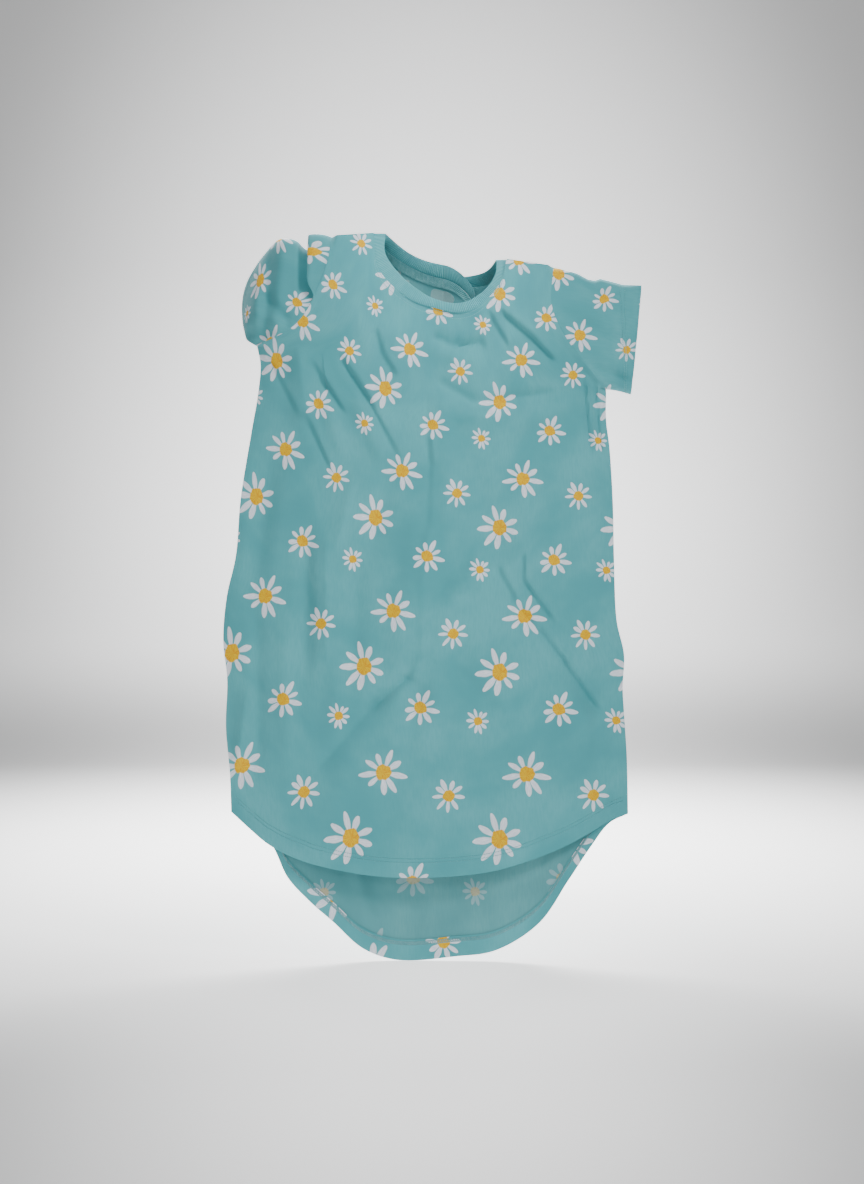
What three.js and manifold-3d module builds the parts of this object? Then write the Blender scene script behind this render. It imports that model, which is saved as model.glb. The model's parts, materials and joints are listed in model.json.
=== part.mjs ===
// A short-sleeved patient gown, hanging open and empty, in millimetres.
// +X is the wearer's left, -Y the front, +Z up. The origin is between the shoulders, where a hanger
// or the wearer holds the gown. The body is a front and a back panel that meet at the shoulders and
// sides. Each sleeve is a tube that starts in its armhole. Bands, tapes and stitching lie on them.

import * as THREE from "three";
import { mergeVertices } from "three/addons/utils/BufferGeometryUtils.js";
import Module from "manifold-3d";

const wasm = await Module();
wasm.setup();

// ---- driving dimensions ----
const clothThickness = 1.0;
const bandThickness = 1.6;
const tapeThickness = 0.8;
const threadThickness = 0.5;
const labelThickness = 0.3;
const pieceGap = 0.3; // between two pieces that touch
const curvedGap = 0.7; // between two pieces where the cloth curves the most
const sleeveNest = 0.8; // how far the sleeve head sits inside the armhole, so that it can swing
const underarmRoom = 9; // left open under the sleeve head for the same reason

const frontDepth = { chest: 52, hem: 38 }; // how far the front stands out from the side seams
const backDepth = { chest: 46, hem: 36 };
const depthRoundness = 2.2; // 2 is a lens, more is flatter in the middle
const shoulderRound = 90; // height over which the shoulders round off
const armholeHalfDepth = 40;

const shoulderTipLeft = [181, -31];
const neckPointLeft = [112, -19];
const neckPointRight = [-87, 20];
const shoulderTipRight = [-150, 14];
const underarmLeft = [261, -213];
const underarmRight = [-262, -149];
const hemLevel = -850; // the height of the hem's corners, which sets the gown's length
const hemCornerLeft = [294, hemLevel];
const hemCornerRight = [-301, hemLevel + 3];

const frontHemDrop = 95; // from the hem corners down to the middle of the curved hem
const backTailDrop = 226;
const backTailPower = 1.1;

const bandEdgeLeft = [97, -19]; // where the neckband's free edge crosses the shoulders
const bandEdgeRight = [-70, 20];

const hemDepth = 26; // turned-up hem, from its edge to its stitching
const cuffHemDepth = 22;
const coverstitchWidth = 6;
const seamAllowanceWidth = 7;
const seamAllowanceInset = 5;
const neckTapeHeight = 12;
const neckTapeInset = 1; // below the neck seam
const neckTopstitchWidth = 5;
const neckTopstitchInset = 3.2; // below the neck seam
const armholeSeamInset = 0.5; // beside the armhole's edge
const bandSeamGap = 0.45; // between the band and the panel it is sewn to
const bandOverlap = 0.2; // how far each half of the band passes the shoulder line, where they join
const labelSize = { width: 30, height: 39 };
const labelPlace = { fromRight: 0.5, belowTape: 5 };

// Left free at the ends of strips, as shares of the gown's width or of its length.
const topstitchMargin = { front: 0.01, back: 0.03 };
const neckTapeMargin = 0.09;
const shoulderTapeMargin = { neck: 0.02, tip: 0.03 };
const sideSeamMargin = { underarm: 0.012, hem: 0.015 };
const hemStitchMargin = 0.015;

const leftCuff = { centre: [305, 0, -140], half: [9.5, 0, 81.5], depth: [0, 17, 0] };
const leftBend = [262, 2, -128];
const rightCuff = { centre: [-256, 60, -77], half: [4, 0, 60], depth: [36, -5, 0] };
const rightBend = [-262, 12, -62];

// ---- how finely the cloth is divided ----
const armholeSteps = 8;
const sideSteps = 11;
const shoulderSteps = 3;
const neckSteps = 14;
const sleeveSteps = 12;
const bandOpenSteps = 2; // columns over which the band opens from its joint on the shoulder
const sleeveHeadShare = 0.45; // the part of a sleeve over which its head becomes an even tube
const armholeShare = 0.2; // the armhole's part of the way from shoulder to hem

// ---- small helpers ----
const mix = THREE.MathUtils.lerp;
const smooth = THREE.MathUtils.smoothstep;
const at = ([x, z]) => new THREE.Vector3(x, 0, z);
const curveThrough = (points) => new THREE.CatmullRomCurve3(points.map(at), false, "centripetal");
const steps = (count) => Array.from({ length: count + 1 }, (_, i) => i / count);

// ---- outlines, each from top to bottom or from the wearer's right to left ----
const armhole = {
  left: curveThrough([shoulderTipLeft, [177, -92], [194, -132], [225, -176], underarmLeft]),
  right: curveThrough([shoulderTipRight, [-161, -43], [-182, -84], [-207, -121], underarmRight]),
};
// A side edge from the underarm to the hem corner, through places given as an x and a share of the way.
const sideThrough = (underarm, places, corner) => curveThrough([
  underarm,
  ...places.map(([x, share]) => [x, mix(underarm[1], corner[1], share)]),
  corner,
]);
const side = {
  left: sideThrough(
    underarmLeft,
    [[262, 0.07], [268, 0.19], [272, 0.36], [277, 0.54], [288, 0.63], [287, 0.73], [292, 0.86]],
    hemCornerLeft,
  ),
  right: sideThrough(
    underarmRight,
    [
      [-257, 0.06], [-268, 0.16], [-288, 0.33], [-297, 0.46], [-313, 0.6], [-307, 0.72], [-309, 0.82],
      [-302, 0.92],
    ],
    hemCornerRight,
  ),
};
const neck = {
  front: curveThrough([
    neckPointRight, [-80, -32], [-48, -70], [2, -97], [34, -104], [76, -88], [103, -50], neckPointLeft,
  ]),
  back: curveThrough([neckPointRight, [-62, -7], [-15, -33], [33, -46], [68, -55], [98, -44], neckPointLeft]),
};
const bandEdge = {
  front: curveThrough([
    bandEdgeRight, [-66, -20], [-40, -54], [0, -82], [34, -89], [70, -75], [90, -50], bandEdgeLeft,
  ]),
  back: curveThrough([bandEdgeRight, [-50, 4], [-11, -17], [33, -30], [63, -40], [86, -32], bandEdgeLeft]),
};

// The line over the shoulders and across the neck, as a height for each x.
const ridge = [shoulderTipRight, neckPointRight, neckPointLeft, shoulderTipLeft];
function ridgeHeight(x) {
  const next = ridge.findIndex((point) => point[0] >= x);
  if (next <= 0) return next === 0 ? ridge[0][1] : ridge[3][1];
  const [x0, z0] = ridge[next - 1];
  const [x1, z1] = ridge[next];
  return mix(z0, z1, (x - x0) / (x1 - x0));
}

// ---- the body's rows (down the gown) and columns (across it) ----
const rows = [
  ...steps(armholeSteps).map((share) => {
    const down = (1 - Math.cos(Math.PI * share)) / 2;
    return {
      w: down * armholeShare,
      left: armhole.left.getPointAt(down),
      right: armhole.right.getPointAt(down),
      opening: armholeHalfDepth * Math.sin(Math.PI * share),
    };
  }),
  ...steps(sideSteps).slice(1).map((share) => ({
    w: mix(armholeShare, 1, share),
    left: side.left.getPointAt(share),
    right: side.right.getPointAt(share),
    opening: 0,
  })),
];

function columnsOf(which) {
  const right = curveThrough([shoulderTipRight, neckPointRight]);
  const left = curveThrough([neckPointLeft, shoulderTipLeft]);
  const tops = [
    ...steps(shoulderSteps).map((share) => right.getPointAt(share)),
    ...steps(neckSteps).slice(1).map((share) => neck[which].getPointAt(share)),
    ...steps(shoulderSteps).slice(1).map((share) => left.getPointAt(share)),
  ];
  const width = shoulderTipLeft[0] - shoulderTipRight[0];
  return tops.map((top) => ({ top, u: (top.x - shoulderTipRight[0]) / width }));
}
const columns = { front: columnsOf("front"), back: columnsOf("back") };

function hemPoint(which, u) {
  const across = 2 * u - 1;
  const x = mix(hemCornerRight[0], hemCornerLeft[0], u);
  const corner = mix(hemCornerRight[1], hemCornerLeft[1], u);
  const drop = which === "front"
    ? frontHemDrop * (1 - across * across)
    : backTailDrop * Math.max(0, Math.cos((Math.PI / 2) * across)) ** backTailPower;
  return new THREE.Vector3(x, 0, corner - drop);
}

// How far the cloth's inner face stands from the plane of the side seams.
function innerDepth(which, u, row, x, z) {
  const { chest, hem } = which === "front" ? frontDepth : backDepth;
  const middle = 1 - Math.abs(2 * u - 1) ** depthRoundness;
  const below = Math.min(Math.max((ridgeHeight(x) - z) / shoulderRound, 0), 1);
  const rounded = 1 - (1 - below) ** 2;
  return pieceGap / 2 + row.opening * (1 - middle) + mix(chest, hem, row.w) * middle * rounded;
}

// The panel's own grid: a patch drawn between its four edges, with its depth at every corner.
function gridOf(which) {
  const cornerTop = [rows[0].right, rows[0].left];
  const last = rows[rows.length - 1];
  return columns[which].map(({ top, u }) => rows.map((row) => {
    const bottom = hemPoint(which, u);
    const blend = (axis) => mix(top[axis], bottom[axis], row.w)
      + mix(row.right[axis], row.left[axis], u)
      - mix(mix(cornerTop[0][axis], cornerTop[1][axis], u), mix(last.right[axis], last.left[axis], u), row.w);
    const x = blend("x");
    const z = blend("z");
    return { x, z, depth: innerDepth(which, u, row, x, z) };
  }));
}
const grid = { front: gridOf("front"), back: gridOf("back") };

// A place on the panel's facets, between its grid's corners.
function onPanel(which, u, w) {
  const across = columns[which].map((column) => column.u);
  const down = rows.map((row) => row.w);
  const i = Math.max(0, Math.min(across.length - 2, across.findLastIndex((value) => value <= u + 1e-9)));
  const j = Math.max(0, Math.min(down.length - 2, down.findLastIndex((value) => value <= w + 1e-9)));
  const fu = (u - across[i]) / (across[i + 1] - across[i]);
  const fw = (w - down[j]) / (down[j + 1] - down[j]);
  const g = grid[which];
  const between = (key) => mix(
    mix(g[i][j][key], g[i + 1][j][key], fu),
    mix(g[i][j + 1][key], g[i + 1][j + 1][key], fu),
    fw,
  );
  return { x: between("x"), z: between("z"), depth: between("depth") };
}

// ---- closed solids from two grids of points ----
function solidBetween(outer, inner, goesRound = false) {
  const across = outer.length;
  const down = outer[0].length;
  const positions = [];
  for (const sheet of [outer, inner]) {
    for (const line of sheet) {
      for (const point of line) positions.push(point.x, point.y, point.z);
    }
  }
  const index = (sheet, i, j) => sheet * across * down + (i % across) * down + j;
  const triangles = [];
  const face = (a, b, c, d) => triangles.push(a, b, c, a, c, d);
  const lastAcross = goesRound ? across : across - 1;
  for (let i = 0; i < lastAcross; i += 1) {
    for (let j = 0; j < down - 1; j += 1) {
      face(index(0, i, j), index(0, i, j + 1), index(0, i + 1, j + 1), index(0, i + 1, j));
      face(index(1, i, j), index(1, i + 1, j), index(1, i + 1, j + 1), index(1, i, j + 1));
    }
    face(index(0, i, 0), index(0, i + 1, 0), index(1, i + 1, 0), index(1, i, 0));
    face(index(0, i + 1, down - 1), index(0, i, down - 1), index(1, i, down - 1), index(1, i + 1, down - 1));
  }
  if (!goesRound) {
    const end = across - 1;
    for (let j = 0; j < down - 1; j += 1) {
      face(index(0, 0, j + 1), index(0, 0, j), index(1, 0, j), index(1, 0, j + 1));
      face(index(0, end, j), index(0, end, j + 1), index(1, end, j + 1), index(1, end, j));
    }
  }
  const geometry = new THREE.BufferGeometry();
  geometry.setAttribute("position", new THREE.Float32BufferAttribute(positions, 3));
  geometry.setIndex(triangles);
  return facingOut(geometry);
}

function facingOut(geometry) {
  const p = geometry.getAttribute("position");
  const order = geometry.getIndex().array;
  const corner = (k) => new THREE.Vector3().fromBufferAttribute(p, order[k]);
  let volume = 0;
  for (let k = 0; k < order.length; k += 3) {
    volume += corner(k).dot(corner(k + 1).cross(corner(k + 2)));
  }
  if (volume < 0) {
    for (let k = 0; k < order.length; k += 3) [order[k], order[k + 1]] = [order[k + 1], order[k]];
  }
  geometry.computeVertexNormals();
  return geometry;
}

function asManifold(geometry) {
  const bare = geometry.clone();
  bare.deleteAttribute("normal");
  const merged = mergeVertices(bare, 1e-5);
  return new wasm.Manifold(new wasm.Mesh({
    numProp: 3,
    vertProperties: new Float32Array(merged.getAttribute("position").array),
    triVerts: new Uint32Array(merged.getIndex().array),
  }));
}

function joined(first, second) {
  const mesh = asManifold(first).add(asManifold(second)).getMesh();
  const geometry = new THREE.BufferGeometry();
  geometry.setAttribute("position", new THREE.Float32BufferAttribute(mesh.vertProperties, 3));
  geometry.setIndex(Array.from(mesh.triVerts));
  return facingOut(geometry);
}

// ---- pieces that lie on a panel ----
const toY = (which, depth) => (which === "front" ? -depth : depth);

// A strip of the panel from u0 to u1 and w0 to w1, from one height over its inner face to another.
function stripOn(which, [u0, u1], [w0, w1], low, high) {
  const within = (values, a, b) => [a, ...values.filter((v) => v > a + 1e-4 && v < b - 1e-4), b];
  const us = within(columns[which].map((column) => column.u), u0, u1);
  const ws = within(rows.map((row) => row.w), w0, w1);
  const layer = (height) => us.map((u) => ws.map((w) => {
    const place = onPanel(which, u, w);
    return new THREE.Vector3(place.x, toY(which, place.depth + height), place.z);
  }));
  return solidBetween(layer(high), layer(low));
}

const outside = (thickness, gap = pieceGap) => [clothThickness + gap, clothThickness + gap + thickness];
const inside = (thickness, gap = pieceGap) => [-gap - thickness, -gap];

// How much of the way down a column one millimetre is, near the column's top or bottom.
const columnLength = (which, u) => onPanel(which, u, 0).z - onPanel(which, u, 1).z;
const perMillimetre = (which, u) => 1 / columnLength(which, u);
const acrossPerMillimetre = 1 / (side.left.getPointAt(0.5).x - side.right.getPointAt(0.5).x);
const neckStartU = columns.front[shoulderSteps].u;
const neckEndU = columns.front[shoulderSteps + neckSteps].u;

// ---- the pieces ----
function panel(which) {
  return stripOn(which, [0, 1], [0, 1], 0, clothThickness);
}

function neckbandHalf(which) {
  const shares = steps(neckSteps);
  const seam = shares.map((share) => neck[which].getPointAt(share));
  const free = shares.map((share) => bandEdge[which].getPointAt(share));
  const layer = (height) => shares.map((share, i) => {
    const u = columns[which][shoulderSteps + i].u;
    const fromEnd = Math.min(i, neckSteps - i);
    const open = smooth(fromEnd, 0, bandOpenSteps);
    const away = free[i].clone().sub(seam[i]).setLength(bandSeamGap);
    return [seam[i].clone().add(away), free[i]].map((place) => {
      const depth = innerDepth(which, u, rows[0], place.x, place.z);
      const height0 = height === 0 ? mix(-bandOverlap, depth, open) : depth + height;
      return new THREE.Vector3(place.x, toY(which, height0), place.z);
    });
  });
  return solidBetween(layer(bandThickness), layer(0));
}

function neckband() {
  return joined(neckbandHalf("front"), neckbandHalf("back"));
}

function neckTopstitch(which) {
  const per = perMillimetre(which, 0.5);
  const start = neckTopstitchInset * per;
  const span = [neckStartU + topstitchMargin[which], neckEndU - topstitchMargin[which]];
  const width = neckTopstitchWidth * per;
  return stripOn(which, span, [start, start + width], ...outside(threadThickness, curvedGap));
}

function backNeckTape() {
  const per = perMillimetre("back", 0.5);
  const span = [neckStartU + neckTapeMargin, neckEndU - neckTapeMargin];
  const down = [neckTapeInset * per, neckTapeHeight * per];
  return stripOn("back", span, down, ...inside(tapeThickness, curvedGap));
}

function sizeLabel() {
  const per = perMillimetre("back", 0.5);
  const top = (neckTapeHeight + labelPlace.belowTape) * per;
  const halfWidth = labelSize.width / 2 / (shoulderTipLeft[0] - shoulderTipRight[0]);
  const u = labelPlace.fromRight;
  const down = [top, top + labelSize.height * per];
  return stripOn("back", [u - halfWidth, u + halfWidth], down, ...inside(labelThickness));
}

function shoulderTape(which) {
  const { neck: nearNeck, tip } = shoulderTapeMargin;
  const span = which === "left" ? [neckEndU + nearNeck, 1 - tip] : [tip, neckStartU - nearNeck];
  const per = perMillimetre("back", which === "left" ? 0.9 : 0.1);
  const from = seamAllowanceInset * per;
  return stripOn("back", span, [from, from + seamAllowanceWidth * per], ...inside(tapeThickness, curvedGap));
}

function sideSeamAllowance(which) {
  const near = seamAllowanceInset * acrossPerMillimetre;
  const far = near + seamAllowanceWidth * acrossPerMillimetre;
  const span = which === "left" ? [1 - far, 1 - near] : [near, far];
  const down = [armholeShare + sideSeamMargin.underarm, 1 - sideSeamMargin.hem];
  return stripOn("back", span, down, ...inside(tapeThickness));
}

function hemStitching(which) {
  const per = perMillimetre(which, 0.5);
  const bottom = 1 - hemDepth * per;
  const span = [hemStitchMargin, 1 - hemStitchMargin];
  return stripOn(which, span, [bottom - coverstitchWidth * per, bottom], ...outside(threadThickness));
}

// ---- sleeves: rings that run from the armhole to the cuff ----
const sleeves = {
  left: {
    seam: armhole.left, tip: shoulderTipLeft, underarm: underarmLeft, bend: leftBend, cuff: leftCuff,
  },
  right: {
    seam: armhole.right, tip: shoulderTipRight, underarm: underarmRight, bend: rightBend, cuff: rightCuff,
  },
};
const vector = (values) => new THREE.Vector3(...values);

function sleevePoint({ seam, tip, underarm, bend, cuff }, angle, along, shrink) {
  const down = (1 - Math.cos(angle)) / 2;
  const chord = at(tip).sub(at(underarm));
  const middle = at(tip).add(at(underarm)).multiplyScalar(0.5);
  const outwards = new THREE.Vector3(chord.z, 0, -chord.x).setLength(Math.sign(middle.x) * pieceGap);
  const inset = sleeveNest + shrink;
  const head = seam.getPointAt(down * (1 - underarmRoom / chord.length())).sub(middle);
  head.multiplyScalar(1 - (2 * inset) / chord.length()).add(middle).add(outwards);
  head.y = -(armholeHalfDepth - inset) * Math.sin(angle);

  const centre = middle.clone().multiplyScalar((1 - along) ** 2)
    .addScaledVector(vector(bend), 2 * along * (1 - along))
    .addScaledVector(vector(cuff.centre), along ** 2);
  const half = chord.clone().multiplyScalar(0.5).lerp(vector(cuff.half), along);
  const depth = new THREE.Vector3(0, armholeHalfDepth, 0).lerp(vector(cuff.depth), along);
  half.setLength(half.length() - inset);
  depth.setLength(depth.length() - inset);
  const ring = centre.addScaledVector(half, Math.cos(angle)).addScaledVector(depth, -Math.sin(angle));
  return head.lerp(ring, smooth(along, 0, sleeveHeadShare));
}

// A tube on a sleeve from one share of its length to another, between two depths under its outside.
// It bends only where the sleeve's own facets do, so that a strip keeps its gap.
function sleeveTube(sleeve, from, to, outerShrink, innerShrink) {
  const rings = steps(sleeveSteps);
  const shares = [from, ...rings.filter((share) => share > from + 1e-4 && share < to - 1e-4), to];
  const layer = (shrink) => Array.from({ length: 2 * armholeSteps }, (_, i) => {
    const angle = (Math.PI * i) / armholeSteps;
    return shares.map((share) => {
      const before = Math.min(Math.floor(share * sleeveSteps + 1e-6), sleeveSteps - 1);
      const start = sleevePoint(sleeve, angle, rings[before], shrink);
      return start.lerp(sleevePoint(sleeve, angle, rings[before + 1], shrink), share * sleeveSteps - before);
    });
  });
  return solidBetween(layer(outerShrink), layer(innerShrink), true);
}

const sleeveLength = (sleeve) => at(sleeve.tip).add(at(sleeve.underarm)).multiplyScalar(0.5)
  .distanceTo(vector(sleeve.cuff.centre));

function cuffStitching(sleeve) {
  const length = sleeveLength(sleeve);
  const edge = 1 - cuffHemDepth / length;
  const from = edge - coverstitchWidth / length;
  return sleeveTube(sleeve, from, edge, -curvedGap - threadThickness, -curvedGap);
}

function armholeSeam(sleeve) {
  const length = sleeveLength(sleeve);
  const outer = clothThickness + curvedGap;
  const from = armholeSeamInset / length;
  const to = seamAllowanceWidth / length;
  return sleeveTube(sleeve, from, to, outer, outer + tapeThickness);
}

// ---- the gown ----
const finish = (color, roughness) => new THREE.MeshStandardMaterial({ color, roughness, metalness: 0 });
const jersey = () => finish(0x7fb9bd, 0.9);
const rib = () => finish(0x77b1b5, 0.92);
const thread = () => finish(0x8fc4c7, 0.8);
const tape = () => finish(0x8cbfc2, 0.9);
const label = () => finish(0x9aa8aa, 0.85);

const gown = new THREE.Group();
function add(name, geometry, material) {
  const mesh = new THREE.Mesh(geometry, material);
  mesh.name = name;
  gown.add(mesh);
}

add("front_panel", panel("front"), jersey());
add("back_panel", panel("back"), jersey());
add("neckband", neckband(), rib());
add("neck_topstitch_front", neckTopstitch("front"), thread());
add("neck_topstitch_back", neckTopstitch("back"), thread());
add("back_neck_tape", backNeckTape(), tape());
add("size_label", sizeLabel(), label());
add("front_hem_stitching", hemStitching("front"), thread());
add("back_hem_stitching", hemStitching("back"), thread());
for (const which of ["left", "right"]) {
  add(`shoulder_tape_${which}`, shoulderTape(which), tape());
  add(`side_seam_${which}`, sideSeamAllowance(which), thread());
  add(`sleeve_${which}`, sleeveTube(sleeves[which], 0, 1, 0, clothThickness), jersey());
  add(`armhole_seam_${which}`, armholeSeam(sleeves[which]), thread());
  add(`cuff_stitching_${which}`, cuffStitching(sleeves[which]), thread());
}

export default gown;
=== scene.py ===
# %% Load the frame
import json
import math

import bpy
import numpy as np
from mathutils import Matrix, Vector

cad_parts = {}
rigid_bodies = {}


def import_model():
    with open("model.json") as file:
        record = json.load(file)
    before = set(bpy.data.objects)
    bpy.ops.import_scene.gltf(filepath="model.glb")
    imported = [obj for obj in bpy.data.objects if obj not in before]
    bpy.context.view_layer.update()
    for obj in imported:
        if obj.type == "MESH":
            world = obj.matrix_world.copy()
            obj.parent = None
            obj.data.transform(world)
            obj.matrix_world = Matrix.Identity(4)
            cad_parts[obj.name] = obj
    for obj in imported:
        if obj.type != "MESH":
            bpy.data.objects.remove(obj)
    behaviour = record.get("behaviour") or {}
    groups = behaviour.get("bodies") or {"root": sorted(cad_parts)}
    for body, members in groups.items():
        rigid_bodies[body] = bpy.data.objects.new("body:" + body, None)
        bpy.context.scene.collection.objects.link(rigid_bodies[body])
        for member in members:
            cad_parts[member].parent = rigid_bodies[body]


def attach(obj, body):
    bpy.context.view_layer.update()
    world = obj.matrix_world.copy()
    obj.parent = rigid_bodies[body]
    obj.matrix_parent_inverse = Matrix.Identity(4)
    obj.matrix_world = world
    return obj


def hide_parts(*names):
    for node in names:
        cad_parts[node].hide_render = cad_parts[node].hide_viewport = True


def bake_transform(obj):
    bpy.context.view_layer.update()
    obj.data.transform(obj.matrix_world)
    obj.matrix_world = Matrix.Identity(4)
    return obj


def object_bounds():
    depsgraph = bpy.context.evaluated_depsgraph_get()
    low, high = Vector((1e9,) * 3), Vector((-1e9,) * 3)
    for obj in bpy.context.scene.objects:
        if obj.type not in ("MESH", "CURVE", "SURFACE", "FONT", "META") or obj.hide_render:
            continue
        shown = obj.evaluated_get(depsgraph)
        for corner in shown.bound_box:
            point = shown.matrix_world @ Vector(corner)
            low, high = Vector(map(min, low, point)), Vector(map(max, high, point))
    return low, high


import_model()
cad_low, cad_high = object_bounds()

print("CAD box, metres:", [round(v, 3) for v in (*cad_low, *cad_high)])

# %% [markdown]
# A patient gown is cut from thin cotton jersey: a front, a longer back and two short sleeves, with
# a ribbed band round the neck. Here it hangs open and empty. Each cut piece is drawn as one smooth
# sheet from its outline, folds are pushed into it, and it is then given its real thickness.
# A drawn sheet was chosen over a simulated one because every fold has its own place.

# %% Sizes and small helpers
MM = 0.001
CLOTH = 0.75 * MM
ARMHOLE_HALF_DEPTH = 40 * MM
SHOULDER_ROUND = 90 * MM
FRONT_DEPTH = (46 * MM, 26 * MM)   # at the chest, at the hem
BACK_DEPTH = (44 * MM, 24 * MM)
LEAST_DEPTH = CLOTH / 2 + 0.1 * MM       # front and back stay this far from the middle plane
DEEPEST, SOFT_LIMIT = 50 * MM, 12 * MM   # folds are eased off beyond this
HEM_DEPTH = 26 * MM
CUFF_HEM_DEPTH = 22 * MM
FLOOR = cad_low.z


def smooth(value, start, end):
    share = np.clip((np.asarray(value, float) - start) / (end - start), 0, 1)
    return share * share * (3 - 2 * share)


def mix(a, b, share):
    return a + (b - a) * share


def bump(value, centre, width):
    return np.exp(-(((np.asarray(value) - centre) / width) ** 2))


def softened(values, at, reach):
    """Values smoothed along a line of places, over a reach."""
    weight = np.exp(-(((at[:, None] - at) / reach) ** 2)) * np.gradient(at)
    return weight @ values / weight.sum(axis=1)


def through(points, shares):
    """Places along a smooth curve through given points, at shares of its length."""
    p = np.array(points, float)
    p = np.vstack([2 * p[0] - p[1], p, 2 * p[-1] - p[-2]])
    fine = []
    for a, b, c, d in zip(p, p[1:], p[2:], p[3:]):
        ta = 0.0
        tb = ta + np.linalg.norm(b - a) ** 0.5
        tc = tb + np.linalg.norm(c - b) ** 0.5
        td = tc + np.linalg.norm(d - c) ** 0.5
        t = np.linspace(tb, tc, 24)[:, None]
        ab = a + (b - a) * (t - ta) / (tb - ta)
        bc = b + (c - b) * (t - tb) / (tc - tb)
        cd = c + (d - c) * (t - tc) / (td - tc)
        left = ab + (bc - ab) * (t - ta) / (tc - ta)
        right = bc + (cd - bc) * (t - tb) / (td - tb)
        fine.append(left + (right - left) * (t - tb) / (tc - tb))
    fine = np.vstack(fine)
    run = np.concatenate([[0], np.cumsum(np.linalg.norm(np.diff(fine, axis=0), axis=1))])
    wanted = np.asarray(shares, float) * run[-1]
    return np.stack([np.interp(wanted, run, fine[:, k]) for k in range(fine.shape[1])], axis=-1)


# %% [markdown]
# The outlines come first, as a pattern cutter would draw them on the stand: x across the gown and z
# up, in millimetres. The gown hangs a little crooked, so left and right aren't mirrored.

# %% Outlines of the cut pieces
SHOULDER_TIP_LEFT, NECK_LEFT = (181, -31), (112, -19)
SHOULDER_TIP_RIGHT, NECK_RIGHT = (-150, 14), (-87, 20)
UNDERARM_LEFT, UNDERARM_RIGHT = (261, -213), (-262, -149)
HEM_CORNER_LEFT, HEM_CORNER_RIGHT = (294, -850), (-301, -847)
HEM_LINE = {
    "front": [HEM_CORNER_RIGHT, (-273, -872), (-243, -896), (-205, -915), (-161, -928), (-83, -941),
              (11, -942), (97, -932), (184, -904), (227, -883), (272, -857), HEM_CORNER_LEFT],
    "back": [HEM_CORNER_RIGHT, (-271, -866), (-241, -898), (-217, -948), (-184, -984), (-148, -1016),
             (-105, -1055), (-53, -1073), (33, -1068), (97, -1058), (162, -1016), (205, -952),
             (240, -899), (268, -863), HEM_CORNER_LEFT],
}

ARMHOLE_LEFT = [SHOULDER_TIP_LEFT, (178, -92), (194, -132), (225, -176), UNDERARM_LEFT]
ARMHOLE_RIGHT = [SHOULDER_TIP_RIGHT, (-156, -27), (-173, -74), (-190, -106), (-216, -130), UNDERARM_RIGHT]
SIDE_LEFT = [
    UNDERARM_LEFT, (261, -259), (266, -300), (271, -379), (273, -470), (277, -560), (288, -612),
    (286, -660), (288, -700), (292, -762), HEM_CORNER_LEFT,
]
SIDE_RIGHT = [
    UNDERARM_RIGHT, (-257, -177), (-261, -222), (-270, -274), (-287, -379), (-294, -462), (-308, -526),
    (-313, -590), (-307, -650), (-309, -719), (-303, -790), HEM_CORNER_RIGHT,
]
NECK_SEAM = {
    "front": [NECK_RIGHT, (-82, -30), (-65, -57), (-24, -88), (8, -98), (36, -104), (60, -99), (82, -83),
              (102, -55), NECK_LEFT],
    "back": [NECK_RIGHT, (-62, -7), (-15, -33), (33, -46), (68, -55), (98, -44), NECK_LEFT],
}
BAND_EDGE = {
    "front": [(-70, 20), (-70, -12), (-48, -46), (-24, -67), (0, -82), (36, -90), (60, -83), (82, -65),
              (95, -42), (97, -19)],
    "back": [(-70, 20), (-51, 4), (-31, -9), (-9, -18), (33, -28), (63, -42), (86, -32), (97, -19)],
}
RIDGE_X = [SHOULDER_TIP_RIGHT[0], NECK_RIGHT[0], NECK_LEFT[0], SHOULDER_TIP_LEFT[0]]
RIDGE_Z = [SHOULDER_TIP_RIGHT[1], NECK_RIGHT[1], NECK_LEFT[1], SHOULDER_TIP_LEFT[1]]
SHOULDER_SPAN = (SHOULDER_TIP_LEFT[0] - SHOULDER_TIP_RIGHT[0]) * MM
SHOULDER_COLUMNS, NECK_COLUMNS = 34, 140
ARMHOLE_ROWS, SIDE_ROWS, HEM_ROWS = 64, 210, 30
ARMHOLE_SHARE, HEM_START = 0.2, 0.955   # shares of the rows' way down, and of the side's


def shoulder_share(x):
    """How far across the shoulders a place is, from the wearer's right tip to the left one, x in mm."""
    return (x - SHOULDER_TIP_RIGHT[0]) / (SHOULDER_TIP_LEFT[0] - SHOULDER_TIP_RIGHT[0])


def shoulder_round(x, z):
    """0 on the shoulder line, 1 where the body has come out to its full depth."""
    ridge = np.interp(x / MM, RIDGE_X, RIDGE_Z) * MM
    below = np.clip((ridge - z) / SHOULDER_ROUND, 0, 1)
    return 1 - (1 - below) ** 2


def body_rows():
    """The rows: how far down each is, its two edge points, and how far its armhole stands open."""
    down = (1 - np.cos(np.pi * np.linspace(0, 1, ARMHOLE_ROWS + 1))) / 2
    below = np.concatenate([
        np.linspace(0, HEM_START, SIDE_ROWS)[1:],
        np.linspace(HEM_START, 1, HEM_ROWS)[1:],
    ])
    left = np.vstack([through(ARMHOLE_LEFT, down), through(SIDE_LEFT, below)]) * MM
    right = np.vstack([through(ARMHOLE_RIGHT, down), through(SIDE_RIGHT, below)]) * MM
    opening = ARMHOLE_HALF_DEPTH * np.sin(np.pi * np.linspace(0, 1, ARMHOLE_ROWS + 1))
    w = np.concatenate([down * ARMHOLE_SHARE, mix(ARMHOLE_SHARE, 1, below)])
    return w, left, right, np.concatenate([opening, np.zeros(len(below))])


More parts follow.
